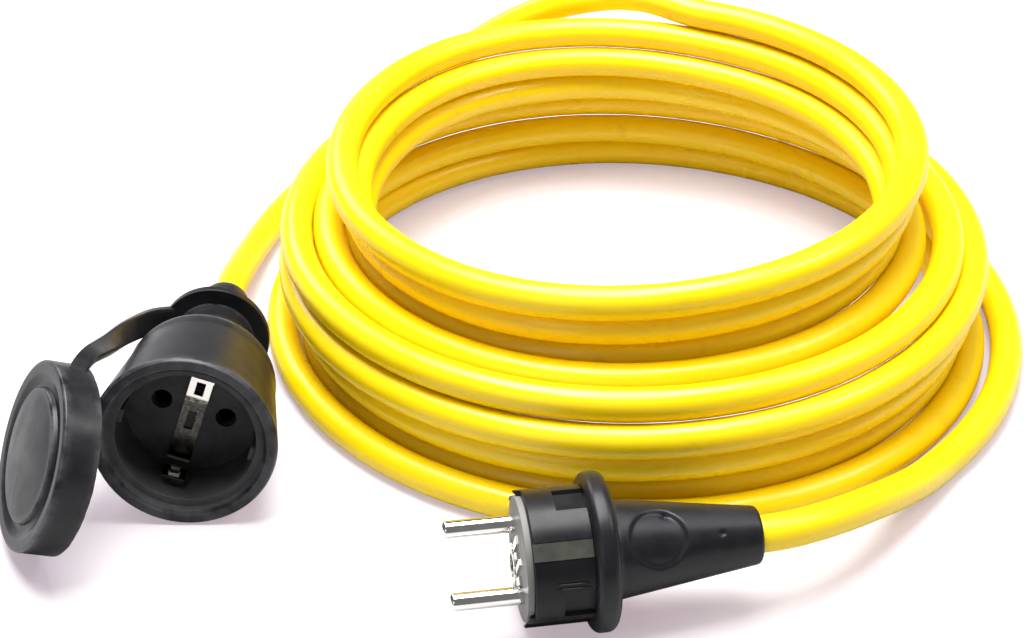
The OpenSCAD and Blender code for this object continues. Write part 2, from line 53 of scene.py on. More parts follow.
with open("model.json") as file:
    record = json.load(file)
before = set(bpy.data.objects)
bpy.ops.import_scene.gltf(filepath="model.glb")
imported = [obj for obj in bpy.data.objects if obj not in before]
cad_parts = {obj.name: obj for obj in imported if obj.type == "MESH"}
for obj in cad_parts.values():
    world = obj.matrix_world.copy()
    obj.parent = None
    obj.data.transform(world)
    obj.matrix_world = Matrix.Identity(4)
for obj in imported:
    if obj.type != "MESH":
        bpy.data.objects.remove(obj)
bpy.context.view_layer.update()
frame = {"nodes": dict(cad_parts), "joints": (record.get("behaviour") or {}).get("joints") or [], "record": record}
RECORD = frame["record"]
NODES = frame["nodes"]
MOUNTS = {mount["name"]: mount for mount in RECORD["mounts"]}
JOINTS = {joint["name"]: joint for joint in frame["joints"]}
BODY_OF = {node: body for body, nodes in RECORD["behaviour"]["bodies"].items() for node in nodes}


# ---------------------------------------------------------------- places


def unit(vector):
    """The vector divided by its length."""
    vector = np.asarray(vector, float)
    return vector / np.linalg.norm(vector)


class Place:
    """An origin and three axes: a point (x, y, z) in it lies at origin + x * X + y * Y + z * Z."""

    def __init__(self, origin, x_axis, z_axis):
        self.origin = np.asarray(origin, float)
        self.z = unit(z_axis)
        self.x = unit(x_axis - np.dot(x_axis, self.z) * self.z)
        self.y = np.cross(self.z, self.x)

    def at(self, points):
        """Points in millimetres in this place, as metres in the frame."""
        return self.origin + np.asarray(points, float) * MM @ np.array([self.x, self.y, self.z])

    def local(self, points):
        """Points in metres in the frame, as millimetres in this place."""
        return (np.asarray(points, float) - self.origin) @ np.array([self.x, self.y, self.z]).T / MM

    def moved(self, point):
        """This place with its origin at one of its own points."""
        return Place(self.at([point])[0], self.x, self.z)

    def turned(self, axis, pivot, degrees):
        """This place after a turn about a line through pivot."""
        turn = np.array(Matrix.Rotation(math.radians(degrees), 3, Vector(axis)))
        pivot = np.asarray(pivot, float)
        return Place(pivot + turn @ (self.origin - pivot), turn @ self.x, turn @ self.z)


def mount_at(name):
    """Where a mount lies, in metres."""
    return np.array(MOUNTS[name]["pos_m"])


def coupler_place(size):
    """Z runs from the mouth to the flex, X to the right and Y down. The collar turns about Z."""
    turn = JOINTS["collar_turn"]
    axis = unit(turn["axis"])
    to_mouth = (size.groove_at + size.groove_width / 2) * MM
    return Place(np.array(turn["pos_m"]) - to_mouth * axis, np.array([1.0, 0, 0]), axis)


def sleeve_place(size):
    """The coupler's place, rolled so that X runs through both contact sleeves."""
    place = coupler_place(size)
    across = mount_at("coupler_sleeve_neutral") - mount_at("coupler_sleeve_live")
    return Place(place.origin, across, place.z)


def cap_place(size):
    """Closed, the cap shares the coupler's axis. At rest it is turned back to where it lies open."""
    hinge = JOINTS["cap_hinge"]
    closed = coupler_place(size).moved((0, 0, -size.cap_gap))
    return closed.turned(hinge["axis"], hinge["pos_m"], -max(hinge["range_deg"]))


def plug_place(size):
    """Z runs from the plug's face to the flex, and X through both pins."""
    live, neutral = mount_at("plug_pin_live"), mount_at("plug_pin_neutral")
    axis = -unit(MOUNTS["plug_pin_live"]["axis"])
    to_face = MOUNTS["plug_pin_live"]["dims"]["length_mm"] / 2 * MM
    return Place((live + neutral) / 2 + to_face * axis, live - neutral, axis)


# ---------------------------------------------------------------- surfaces

SHARP = 32.0
BEVEL_LIMIT = 40.0


def lattice(rows, columns, close_rows=False):
    """Four-cornered faces between neighbours of rows of closed rings, numbered row by row."""
    i, j = np.indices((rows if close_rows else rows - 1, columns)).reshape(2, -1)
    down, right = (i + 1) % rows, (j + 1) % columns
    return np.stack([i * columns + j, i * columns + right, down * columns + right, down * columns + j], 1)


def fan(ring, tip, flipped=False):
    """Triangles from each edge of a closed ring of point numbers to one tip."""
    after = np.roll(ring, -1)
    tips = np.full(len(ring), tip)
    return np.stack([after, ring, tips] if flipped else [ring, after, tips], axis=1)


def closed_rings(points, around, tips):
    """Rings of points with a tip put to each end, and the faces of the closed skin."""
    ring, count = np.arange(around), len(points)
    ends = [fan(ring, count, flipped=True), fan(count - around + ring, count + 1)]
    return np.concatenate([points, tips]), [lattice(count // around, around), *ends]


def add_piece(name, mesh, material, nodes, sharp, instead=True):
    """An object for a smooth mesh, on the body of the first node, that may replace them.

    The strap rides on no body.
    """
    mesh.polygons.foreach_set("use_smooth", np.ones(len(mesh.polygons), bool))
    mesh.set_sharp_from_angle(angle=math.radians(sharp))
    mesh.materials.append(material)
    piece = bpy.data.objects.new(name, mesh)
    bpy.context.scene.collection.objects.link(piece)
    if nodes[0] != "cap_strap":
        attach(piece, BODY_OF[nodes[0]])
    if instead:
        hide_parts(*nodes)
    return piece


def new_piece(name, points, faces, material, nodes, uv=None, sharp=SHARP, instead=True):
    """A piece of points in metres and groups of faces, which are all turned outwards."""
    mesh = bpy.data.meshes.new(name)
    mesh.from_pydata(points, [], [face for group in faces for face in group.tolist()])
    if uv is not None:
        layer = mesh.uv_layers.new(name="UVMap")
        index = np.zeros(len(mesh.loops), np.int32)
        mesh.loops.foreach_get("vertex_index", index)
        layer.data.foreach_set("uv", uv[index].astype(np.float32).ravel())
    mesh.update()
    piece = add_piece(name, mesh, material, nodes, sharp, instead)
    work = bmesh.new()
    work.from_mesh(mesh)
    bmesh.ops.recalc_face_normals(work, faces=work.faces)
    work.to_mesh(mesh)
    work.free()
    mesh.update()
    return piece


def mark_edges(piece, mask):
    """Stores how worn each point is, 0 to 1, as the attribute that the finishes read."""
    layer = piece.data.attributes.new("wear", "FLOAT", "POINT")
    layer.data.foreach_set("value", np.asarray(mask, np.float32))


def rounded(corners, steps=5):
    """A line through corners (x, y, radius), each corner cut by an arc that touches both sides.

    The arc's centre lies on the line that halves the corner, and it begins radius / tan(half the
    inner angle) from the corner, or halfway along the shorter side if that is less.
    """
    line = []
    for k, (x, y, radius) in enumerate(corners):
        here = np.array([x, y], float)
        before = np.array(corners[k - 1][:2], float)
        after = np.array(corners[(k + 1) % len(corners)][:2], float)
        if radius <= 0:
            line.append(here)
            continue
        back, forth = unit(before - here), unit(after - here)
        half = math.acos(np.clip(back @ forth, -1, 1)) / 2
        reach = radius / math.tan(half)
        room = 0.49 * min(np.linalg.norm(before - here), np.linalg.norm(after - here))
        if reach > room:
            radius, reach = radius * room / reach, room
        middle = here + unit(back + forth) * radius / math.sin(half)
        first, last = here + back * reach - middle, here + forth * reach - middle
        start = math.atan2(first[1], first[0])
        sweep = (math.atan2(last[1], last[0]) - start + math.pi) % (2 * math.pi) - math.pi
        turn = start + sweep * np.linspace(0, 1, steps + 1)
        line.extend(middle + radius * np.stack([np.cos(turn), np.sin(turn)], axis=1))
    return np.array(line)


def divided(line, longest, closed=False):
    """The line with more points, so that no step is longer than the given length."""
    ends = np.roll(line, -1, axis=0) if closed else line[1:]
    parts = []
    for start, end in zip(line, ends):
        count = max(1, math.ceil(np.linalg.norm(end - start) / longest))
        parts.append(start + (end - start) * (np.arange(count) / count)[:, None])
    if not closed:
        parts.append(line[-1:])
    return np.concatenate(parts)


def corner_wear(line, closed=False):
    """How sharply a profile turns outward at each point, 0 to 1, spread over its neighbours."""
    step = np.diff(np.concatenate([line[-1:], line, line[:1]]), axis=0)
    turn = np.diff(np.unwrap(np.arctan2(step[:, 1], step[:, 0])))
    length = (np.linalg.norm(step[1:], axis=1) + np.linalg.norm(step[:-1], axis=1)) / 2
    bend = np.clip(-turn / np.maximum(length, 0.05) / 1.2, 0, 1)
    if not closed:
        bend[0] = bend[-1] = 0
    return np.maximum(bend, 0.5 * np.maximum(np.roll(bend, 1), np.roll(bend, -1)))


def unchanged(radius, height, angle):
    """The shape function of a plain turned piece."""
    return radius, height


def revolved(profile, around, shape):
    """Points of a profile turned round Z: (radius * cos a, radius * sin a, height) at angle a.

    The shape function may first change radius and height as functions of the angle.
    """
    angle = np.linspace(0, 2 * math.pi, around, endpoint=False)
    radius, height, angle = np.broadcast_arrays(profile[:, :1], profile[:, 1:], angle)
    radius, height = shape(radius, height, angle)
    return np.stack([radius * np.cos(angle), radius * np.sin(angle), height], axis=-1).reshape(-1, 3)


def turned_piece(name, profile, place, material, node, around, shape=unchanged, instead=True):
    """A closed profile of (radius, height) turned once round the place's Z axis."""
    faces = [lattice(len(profile), around, close_rows=True)]
    points = place.at(revolved(profile, around, shape))
    piece = new_piece(name, points, faces, material, [node], instead=instead)
    mark_edges(piece, np.repeat(corner_wear(profile, closed=True), around))


def domed_piece(name, profile, place, material, node, around, shape=unchanged):
    """A profile from axis to axis, turned round it and closed by a point at each pole."""
    poles = np.array([[0, 0, profile[0, 1]], [0, 0, profile[-1, 1]]])
    points, faces = closed_rings(revolved(profile[1:-1], around, shape), around, poles)
    piece = new_piece(name, place.at(points), faces, material, [node])
    mark_edges(piece, np.concatenate([np.repeat(corner_wear(profile)[1:-1], around), [0, 0]]))


def softened(node, name, bevel, material, turn=None):
    """A copy of a solid whose loose triangles are joined, with a small round on its edges.

    Turn is a place and an angle in degrees: the copy turns so far about that place's Z axis.
    """
    work = bmesh.new()
    work.from_mesh(NODES[node].data)
    if turn is not None:
        place, degrees = turn
        spin = Matrix.Rotation(math.radians(degrees), 3, Vector(place.z))
        bmesh.ops.rotate(work, cent=Vector(place.origin), matrix=spin, verts=work.verts)
    bmesh.ops.remove_doubles(work, verts=work.verts, dist=1e-6)
    flat = math.radians(0.5)
    bmesh.ops.dissolve_limit(work, angle_limit=flat, verts=work.verts, edges=work.edges)
    mesh = bpy.data.meshes.new(name)
    work.to_mesh(mesh)
    work.free()
    piece = add_piece(name, mesh, material, [node], SHARP)
    rounding = piece.modifiers.new("Rounded edges", "BEVEL")
    rounding.width = bevel * MM
    rounding.segments = 2
    rounding.limit_method = "ANGLE"
    rounding.angle_limit = math.radians(BEVEL_LIMIT)
    rounding.use_clamp_overlap = True
    rounding.harden_normals = True


# ---------------------------------------------------------------- finishes


def feed(tree, node, settings):
    """Sets a node's attributes by name, and sets or links its sockets by label or number."""
    for label, value in settings.items():
        if isinstance(label, str) and hasattr(node, label):
            setattr(node, label, value)
            continue
        socket = node.inputs[label.replace("_", " ") if isinstance(label, str) else label]
        if isinstance(value, bpy.types.NodeSocket):
            tree.links.new(value, socket)
        elif value is not None:
            socket.default_value = value


def wire(tree, kind, *feeds, out=0, **settings):
    """Adds a shader node, feeds its sockets in order and by label, and gives one of its outputs."""
    node = tree.nodes.new("ShaderNode" + kind)
    feed(tree, node, {**settings, **dict(enumerate(feeds))})
    return node.outputs[out]


def reckon(tree, operation, *terms):
    """The result of one Math node."""
    return wire(tree, "Math", *terms, operation=operation)


def mix_colours(tree, factor, first, second):
    """Mixes two colours, each a socket or a value, by a factor."""
    unused = [None] * 5
    return wire(tree, "Mix", factor, *unused, first, second, out=2, data_type="RGBA")


def band(tree, value, middle, half, soft=0.15):
    """1 where a value lies within half of a middle, fading out over a soft edge."""
    away = reckon(tree, "ABSOLUTE", reckon(tree, "SUBTRACT", value, middle))
    return wire(tree, "MapRange", away, half - soft, half + soft, 1.0, 0.0)


def local_axes(tree, place):
    """Sockets of x, y and z in millimetres in a place, from Object coordinates."""
    turn = Matrix([place.x, place.y, place.z])
    spot = wire(tree, "TexCoord", out="Object")
    shift = -(turn @ Vector(place.origin)) / MM
    turned = wire(tree, "Mapping", spot, shift, turn.to_euler(), (1 / MM, 1 / MM, 1 / MM))
    return wire(tree, "SeparateXYZ", turned).node.outputs


def node_group(name, inputs, outputs):
    """An empty shader node group of number sockets: the group, its given sockets and its end."""
    group = bpy.data.node_groups.new(name, "ShaderNodeTree")
    for label, value in inputs.items():
        socket = group.interface.new_socket(label, in_out="INPUT", socket_type="NodeSocketFloat")
        socket.default_value = value
    for label in outputs:
        group.interface.new_socket(label, in_out="OUTPUT", socket_type="NodeSocketFloat")
    return group, group.nodes.new("NodeGroupInput").outputs, group.nodes.new("NodeGroupOutput")


def grain_group():
    """Fine moulded grain and slow waves: a height for bumps, and a slow mask from 0 to 1."""
    inputs = {"Fine Scale": 2500.0, "Wave Scale": 120.0, "Wave Share": 0.6}
    group, given, end = node_group("Moulded grain", inputs, ["Height", "Mask"])
    spot = wire(group, "TexCoord", out="Object")
    fine = wire(group, "TexNoise", spot, Scale=given["Fine Scale"], Detail=2.0)
    slow = wire(group, "TexNoise", spot, Scale=given["Wave Scale"], Detail=3.0, Roughness=0.6)
    height = wire(group, "Mix", given["Wave Share"], None, fine, slow, data_type="FLOAT")
    feed(group, end, {"Height": height, "Mask": wire(group, "MapRange", slow, 0.35, 0.65)})
    return group


def scuff_group():
    """Thin pale scratches: a band of stretched noise near its middle value, broken up by slow noise."""
    group, given, end = node_group("Scuffs", {"Scale": 300.0, "Amount": 0.4}, ["Mask"])
    spot = wire(group, "TexCoord", out="Object")
    stretch = wire(group, "Mapping", spot, Rotation=(0.4, 0.9, 0.6), Scale=(1.0, 0.12, 0.5))
    lines = wire(group, "TexNoise", stretch, Scale=given["Scale"], Detail=1.0, Distortion=0.3)
    patch = wire(group, "TexNoise", spot, Scale=60.0, Detail=2.0)
    where = wire(group, "MapRange", patch, 0.55, 0.7)
    marks = reckon(group, "MULTIPLY", band(group, lines, 0.5, 0.006, 0.006), where)
    feed(group, end, {"Mask": reckon(group, "MULTIPLY", marks, given["Amount"])})
    return group


def shared_group(name):
    """The named node group, built on first use."""
    makers = {"Moulded grain": grain_group, "Scuffs": scuff_group}
    return bpy.data.node_groups.get(name) or makers[name]()


def grained(tree, grain, tint, rough, bump, **gloss):
    """Feeds the shader: a tint, roughness from low to high by the grain's mask, and its bump.

    Rough is (low, high) and bump is (strength, distance in metres).
    """
    spread = wire(tree, "MapRange", grain["Mask"], To_Min=rough[0], To_Max=rough[1])
    relief = wire(tree, "Bump", Strength=bump[0], Distance=bump[1], Height=grain["Height"])
    sockets = {"Base Color": tint, "Roughness": spread, "Normal": relief, **gloss}
    feed(tree, tree.nodes["Principled BSDF"], sockets)


def finish(name, colour, roughness, shift=0.12, bump=0.00004, scuffs=0.0, worn=None, **gloss):
    """A moulded or metal finish: slow changes of colour and roughness, fine grain, scuffs and wear.

    Gloss settings go straight to sockets of the shader by their labels.
    """
    known = bpy.data.materials.get(name)
    if known:
        return known
    material = bpy.data.materials.new(name)
    material.use_nodes = True
    tree = material.node_tree
    grain = wire(tree, "Group", node_tree=shared_group("Moulded grain")).node.outputs
    dark = [c * (1 - shift) for c in colour] + [1]
    light = [min(1.0, c * (1 + shift)) for c in colour] + [1]
    tint = mix_colours(tree, grain["Mask"], dark, light)
    if scuffs > 0:
        marks = wire(tree, "Group", node_tree=shared_group("Scuffs"), Amount=scuffs)
        tint = mix_colours(tree, marks, tint, [0.5 * c + 0.22 for c in colour] + [1])
    if worn is not None:
        edge = wire(tree, "Attribute", out="Fac", attribute_name="wear")
        rubbed = reckon(tree, "MULTIPLY", edge, grain["Mask"])
        tint = mix_colours(tree, rubbed, tint, [*worn, 1])
    rough = (max(0.02, roughness * 0.85), min(1.0, roughness * 1.15))
    grained(tree, grain, tint, rough, (0.5, bump), **gloss)
    return material


CORE = (0.35, {"shift": 0.06})
FINISHES = {
    # moulded rubber with a soft sheen and pale worn edges
    "rubber": ("Moulded black rubber", 0.36, dict(shift=0.2, worn=(0.1, 0.1, 0.11), Specular_IOR_Level=0.3)),
    # the plug's front body and the coupler's back cover
    "hard": ("Hard black plastic", 0.34, dict(shift=0.15, worn=(0.06, 0.06, 0.066), Specular_IOR_Level=0.22)),
    # inside the coupler, where little light comes back: lighter and less glossy than the rubber, painted light for
    # the dim inside
    "recess": ("Recess black", 0.55, dict(shift=0.25, Specular_IOR_Level=0.12)),
    "face": ("Grey contact carrier", 0.55, dict(shift=0.06, scuffs=0.3)),
    "nickel": ("Polished nickel", 0.09, dict(Metallic=1.0, shift=0.05, bump=0.000006)),
    "tin": ("Dull tin plate", 0.45, dict(Metallic=0.6, shift=0.15, bump=0.00002, scuffs=0.4)),
    "bright": ("Bright strip", 0.25, dict(Metallic=1.0, shift=0.08, bump=0.00001)),
    "brass": ("Drawn brass", 0.3, dict(Metallic=1.0, shift=0.1, bump=0.00001)),
    # the sprung sleeves: brass painted dark brown as the shade deep in their holes
    "sleeve": ("Browned brass", 0.5, dict(Metallic=0.8, shift=0.2, bump=0.00001)),
    "live": ("Brown core", *CORE),
    "neutral": ("Blue core", *CORE),
    "earth": ("Green and yellow core", *CORE),
}


def finish_of(look, kind):
    """One of the finishes above, in the look's colour for it."""
    name, roughness, settings = FINISHES[kind]
    return finish(name, getattr(look, kind + "_colour"), roughness, **settings)


def bridge_finish(look, place):
    """The coupler's earth strip: a bright plate on top, then a dull, darker strip with painted crumples, a painted
    shade line and a painted highlight at its fold, and a tongue in painted shade with two painted glints.

    x runs across the strip, y down it and -z forward from the recess floor, in millimetres.
    """
    name = "Earth bridge strip"
    if bpy.data.materials.get(name):
        return bpy.data.materials[name]
    material = finish(name, look.bright_colour, 0.24, shift=0.05, bump=0.00001, Metallic=1.0)
    tree = material.node_tree
    shader = tree.nodes["Principled BSDF"]
    across, down, deep = local_axes(tree, place)
    spot = wire(tree, "TexCoord", out="Object")
    folds = wire(tree, "TexNoise", spot, Scale=900.0, Detail=2.0, Distortion=1.5)
    crumple = wire(tree, "MapRange", folds, 0.35, 0.7)
    dull = mix_colours(tree, crumple, (0.035, 0.034, 0.028, 1), (0.11, 0.105, 0.09, 1))
    # painted light and shade of crumples that the mesh does not have: dark creases and light ridges
    painted_crease_light_and_shade = mix_colours(tree, crumple, (0.01, 0.01, 0.009, 1), (0.3, 0.28, 0.22, 1))
    # painted shade: black for the line just above the fold and for the plate's window
    painted_shade_black = (0.004, 0.004, 0.004, 1)
    tint = shader.inputs["Base Color"].links[0].from_socket
    # bands down the strip: dull metal, the painted crumples, a painted shade line just above the fold and a
    # painted highlight along the fold
    rows = ((7.5, 11.8, dull), (-3.4, 1.0, painted_crease_light_and_shade), (15.6, 0.4, painted_shade_black), (16.9, 0.5, (0.35, 0.34, 0.31, 1)))
    for centre, half, colour in rows:
        tint = mix_colours(tree, band(tree, down, centre, half, 0.3), tint, colour)
    lower = band(tree, down, 17.0, 9.0)
    # painted glints: two bright spots on the forward tongue
    painted_glints = [
        reckon(tree, "MULTIPLY", band(tree, deep, centre, half), band(tree, across, 0.0, 1.6))
        for centre, half in ((-6.2, 1.1), (-11.8, 0.8))
    ]
    # painted shade: the tongue standing forward of the recess floor is darkened nearly to black
    painted_tongue_layers = [(band(tree, deep, -9.0, 7.6, 0.2), (0.02, 0.02, 0.018, 1))]
    painted_tongue_layers += [(painted_glint, (0.9, 0.88, 0.82, 1)) for painted_glint in painted_glints]
    for mask, colour in painted_tongue_layers:
        tint = mix_colours(tree, reckon(tree, "MULTIPLY", mask, lower), tint, colour)
    # painted shade: the pad seen through the plate's window is painted black, as a dark hole
    window = reckon(tree, "MULTIPLY", band(tree, down, -7.5, 2.1, 0.05), band(tree, across, 0.0, 1.3, 0.05))
    window_shade = reckon(tree, "MULTIPLY", window, band(tree, deep, 0.0, 1.4, 0.05))
    feed(tree, shader, {"Base Color": mix_colours(tree, window_shade, tint, painted_shade_black)})
    return material


def flex_finish(look):
    """Yellow sheath: smooth and glossy, with slow shifts of tone, faint grime and soft ripples."""
    name = "Yellow sheath"
    if bpy.data.materials.get(name):
        return bpy.data.materials[name]
    material = bpy.data.materials.new(name)
    material.use_nodes = True
    tree = material.node_tree
    settings = {"Fine Scale": 1500.0, "Wave Scale": 35.0, "Wave Share": 0.35}
    grain = wire(tree, "Group", node_tree=shared_group("Moulded grain"), **settings).node.outputs
    coordinates = wire(tree, "TexCoord").node.outputs
    along = wire(tree, "Mapping", coordinates["UV"], Scale=(6.0, 0.9, 1.0))
    streak = wire(tree, "TexNoise", along, Scale=3.0, Detail=3.0, Roughness=0.55)
    grime = wire(tree, "TexNoise", coordinates["Object"], Scale=90.0, Detail=4.0, Roughness=0.65)
    spots = wire(tree, "MapRange", grime, 0.62, 0.8, 0.0, 0.35)
    tint = mix_colours(tree, streak, [*look.flex_colour, 1], [*look.flex_shade, 1])
    tint = mix_colours(tree, spots, tint, (0.55, 0.33, 0.03, 1))
    gloss = {"Specular IOR Level": 0.45, "Coat Roughness": 0.25, "Coat Weight": 0.15}
    grained(tree, grain, tint, (0.26, 0.4), (0.35, 0.00005), **gloss)
    return material


# ---------------------------------------------------------------- sizes


def length(label, about, value):
    """A size in millimetres."""
    return FloatProperty(name=label, description=about + ", mm", default=value, min=0.0)


def tone(label, about, value):
    """A colour."""
    return FloatVectorProperty(
        name=label, description=about, subtype="COLOR", size=3, min=0.0, max=1.0, default=value
    )


class CordLook(bpy.types.PropertyGroup):
    """Colours of the finishes"""

    flex_colour: tone("Flex", "Yellow of the sheath", (1.0, 0.76, 0.003))
    flex_shade: tone("Flex shade", "Warmer yellow that the sheath drifts to", (1.0, 0.66, 0.0))
    rubber_colour: tone("Rubber", "Black of the moulded rubber", (0.0105, 0.0105, 0.0125))
    hard_colour: tone("Hard plastic", "Black of the hard plastic", (0.009, 0.009, 0.0105))
    face_colour: tone("Face", "Grey of the plug's face", (0.2, 0.2, 0.19))
    nickel_colour: tone("Nickel", "Colour of the pins", (0.83, 0.82, 0.79))
    tin_colour: tone("Tin", "Colour of the earth strips", (0.085, 0.088, 0.072))
    bright_colour: tone("Bright strip", "Colour of the coupler's earth bridge", (0.85, 0.84, 0.79))
    brass_colour: tone("Brass", "Colour of the contacts", (0.78, 0.58, 0.28))
    # painted shade: the sleeves' dark brown stands for the shade deep in their holes
    sleeve_colour: tone("Sleeves", "Colour of the sleeves in the coupler", (0.035, 0.024, 0.012))
    # painted light: the recess's black is set lighter than the rubber's for the dim inside
    recess_colour: tone("Recess", "Black of the coupler's recess", (0.06, 0.06, 0.062))
    live_colour: tone("Live core", "Brown insulation", (0.12, 0.045, 0.02))
    neutral_colour: tone("Neutral core", "Blue insulation", (0.03, 0.12, 0.42))
    earth_colour: tone("Earth core", "Green and yellow insulation", (0.28, 0.42, 0.03))


class FlexSize(bpy.types.PropertyGroup):
    """Sizes of the flex and its pile of loops"""

    diameter: length("Diameter", "Outer diameter of the flex", 9.5)
    loops: FloatProperty(name="Loops", description="Loops in the pile", default=9.2917, min=1.0)
    radius: length("Radius", "Radius of the lowest loop", 124.4)
    taper: length("Taper", "How much narrower the pile is at its top", 34.8)
    swing: length("Swing", "How far each run swings in and out", 7.7)
    runs: IntProperty(name="Runs", description="Inward and outward runs", default=4, min=2)
    gap: length("Gap", "Clearance between loops", 0.7)
    press: length("Press", "How much thicker the flex is drawn, so that loops nearly touch", 0.55)
    low_centre: FloatVectorProperty(
        name="Low centre", description="Centre of the lowest loop, mm", size=2, default=(144.8, 75.3)
    )
    top_centre: FloatVectorProperty(
        name="Top centre", description="Centre of the topmost loop, mm", size=2, default=(140.0, 82.8)
    )


class CouplerSize(bpy.types.PropertyGroup):
    """Sizes of the coupler and its cap"""

    mouth: length("Mouth", "Outer diameter of the mouth", 52.4)
    seat: length("Seat", "Diameter of the seat in the mouth", 44.4)
    seat_depth: length("Seat depth", "Depth of the seat", 3.0)
    recess: length("Recess", "Diameter of the recess", 39.6)
    recess_depth: length("Recess depth", "Depth of the recess behind the seat", 17.7)
    shoulder: length("Shoulder", "Diameter at the shoulder", 44.0)
    shoulder_at: length("Shoulder place", "Distance of the shoulder from the mouth", 35.0)
    groove_at: length("Groove place", "Distance of the neck groove from the mouth", 65.0)
    groove_width: length("Groove width", "Width of the neck groove", 3.6)
    neck: length("Neck", "Diameter of the neck groove", 19.4)
    stop: length("Stop", "Diameter of the collar's stops", 25.0)
    gland: length("Gland", "Diameter of the gland", 15.0)
    overall: length("Length", "Length from the mouth to the gland's end", 92.0)
    cap: length("Cap", "Diameter of the cap", 53.3)
    cap_depth: length("Cap depth", "Depth of the cap over its rim", 10.6)
    cap_wall: length("Cap wall", "Wall of the cap's skirt", 3.1)
    cap_face: length("Cap face", "Thickness of the cap's face", 2.6)
    cap_lead: length("Cap lead", "Chamfer inside the skirt's lip", 2.0)
    cap_gap: length("Cap gap", "Gap that the closed cap keeps to the mouth", 0.9)
    cap_disc: length("Cap disc", "Diameter of the raised disc", 37.5)
    strap_height: length("Strap height", "Width of the strap's broad side", 7.0)
    strap_thick: length("Strap thickness", "Thickness of the strap", 3.0)


class PlugSize(bpy.types.PropertyGroup):
    """Sizes of the plug"""

    body: length("Body", "Diameter of the front body", 36.0)
    body_length: length("Body length", "Length of the front body", 17.5)
    carrier_out: length("Carrier", "How far the contact carrier stands out", 1.8)
    flange: length("Flange", "Diameter of the flange", 42.5)
    flange_thick: length("Flange thickness", "Thickness of the flange", 6.5)
    tail_root: length("Tail root", "Diameter of the tail at the flange", 27.0)
    tail_end: length("Tail end", "Diameter of the tail at the flex", 15.4)
    tail_length: length("Tail length", "Length of the tail", 40.5)
    pin: length("Pin", "Diameter of a pin", 4.8)
    pin_out: length("Pin length", "Length of a pin outside the face", 19.0)
    pin_pitch: length("Pin pitch", "Distance between the pins", 19.0)


class StageSize(bpy.types.PropertyGroup):
    """The camera and the lights"""

    lens: FloatProperty(name="Lens", description="Focal length, mm", default=70.84)
    height: FloatProperty(name="Height", description="Camera height", default=0.3606, unit="LENGTH")
    back: FloatProperty(name="Back", description="Camera distance", default=0.5552, unit="LENGTH")
    aim: FloatVectorProperty(
        name="Aim", description="Point on the floor in the middle of the view, m",
        subtype="XYZ", size=3, default=(0.1052, 0.0748, 0.0),
    )


SETTINGS = {
    "cord_look": CordLook,
    "cord_flex": FlexSize,
    "cord_coupler": CouplerSize,
    "cord_plug": PlugSize,
    "cord_stage": StageSize,
}
FLEX_HOLE = 4.75


# ---------------------------------------------------------------- flex

COUPLER_LEAD = [
    (153.3, 175.3, 69), (134.3, 182.8, 66), (113.3, 189.8, 57), (92.3, 191.8, 44), (72.3, 188.8, 28),
    (53.3, 178.8, 14.5), (36.3, 160.8, 6.5), (24.3, 136.8, 4.8), (17.7, 110.6, 6.4), (14.9, 86.1, 11),
]
PLUG_LEAD = [(186.3, -56.7, 20), (200.3, -45.7, 16.5), (212.7, -32.7, 11.5), (222.7, -20.7, 7.2)]
STEPS_A_TURN = 24
COIL_START = -40.0
WAVE_EDGE = 0.93
WAVE_PHASE = 51.0
LINE_STEP = 5.0
TUBE_AROUND = 28
LOBES, LOBE_RELIEF, LOBE_LAY = 3, 0.02, 60.0


def soft_wave(degrees):
    """A triangle wave with round corners: the arcsine of a sine that stays short of 1."""
    return np.arcsin(WAVE_EDGE * np.sin(np.radians(degrees))) / math.asin(WAVE_EDGE)


def coil_points(size):
    """Points of the pile, 24 a turn, from its lowest end to its top, and the heading at both ends.

    Seen from above each turn is a circle whose radius runs in and out as a soft wave while the pile
    narrows. A point lies over the point one turn before it, so high that the two stay a pitch apart:
    the rise is the root of pitch squared less their distance in plan squared, averaged over 5 points.
    """
    steps = round(size.loops * STEPS_A_TURN)
    turn = np.arange(steps + 1) / STEPS_A_TURN
    share = turn / size.loops
    run = WAVE_PHASE + (180 * size.runs - WAVE_PHASE) * share
    radius = size.radius - size.swing - size.taper * share + size.swing * soft_wave(90 + run)
    angle = np.radians(360 * turn + COIL_START)
    low, top = np.array(size.low_centre), np.array(size.top_centre)
    plan = low + (top - low) * share[:, None]
    plan = plan + radius[:, None] * np.stack([np.cos(angle), np.sin(angle)], axis=1)
    pitch = size.diameter + size.gap
    apart = np.linalg.norm(plan[STEPS_A_TURN:] - plan[:-STEPS_A_TURN], axis=1)
    rise = np.sqrt(np.maximum(pitch**2 - apart**2, 0))
    window = np.ones(5)
    soft = np.convolve(rise, window, "same") / np.convolve(np.ones(len(rise)), window, "same")
    soft[0] = rise[0]
    height = np.full(steps + 1, size.diameter / 2)
    for first in range(STEPS_A_TURN, steps + 1, STEPS_A_TURN):
        part = slice(first, min(first + STEPS_A_TURN, steps + 1))
        below = slice(part.start - STEPS_A_TURN, part.stop - STEPS_A_TURN)
        height[part] = height[below] + soft[below]
    heading = np.stack([-np.sin(angle), np.cos(angle), np.zeros(steps + 1)], axis=1)
    return np.column_stack([plan, height]), heading[0], heading[-1]


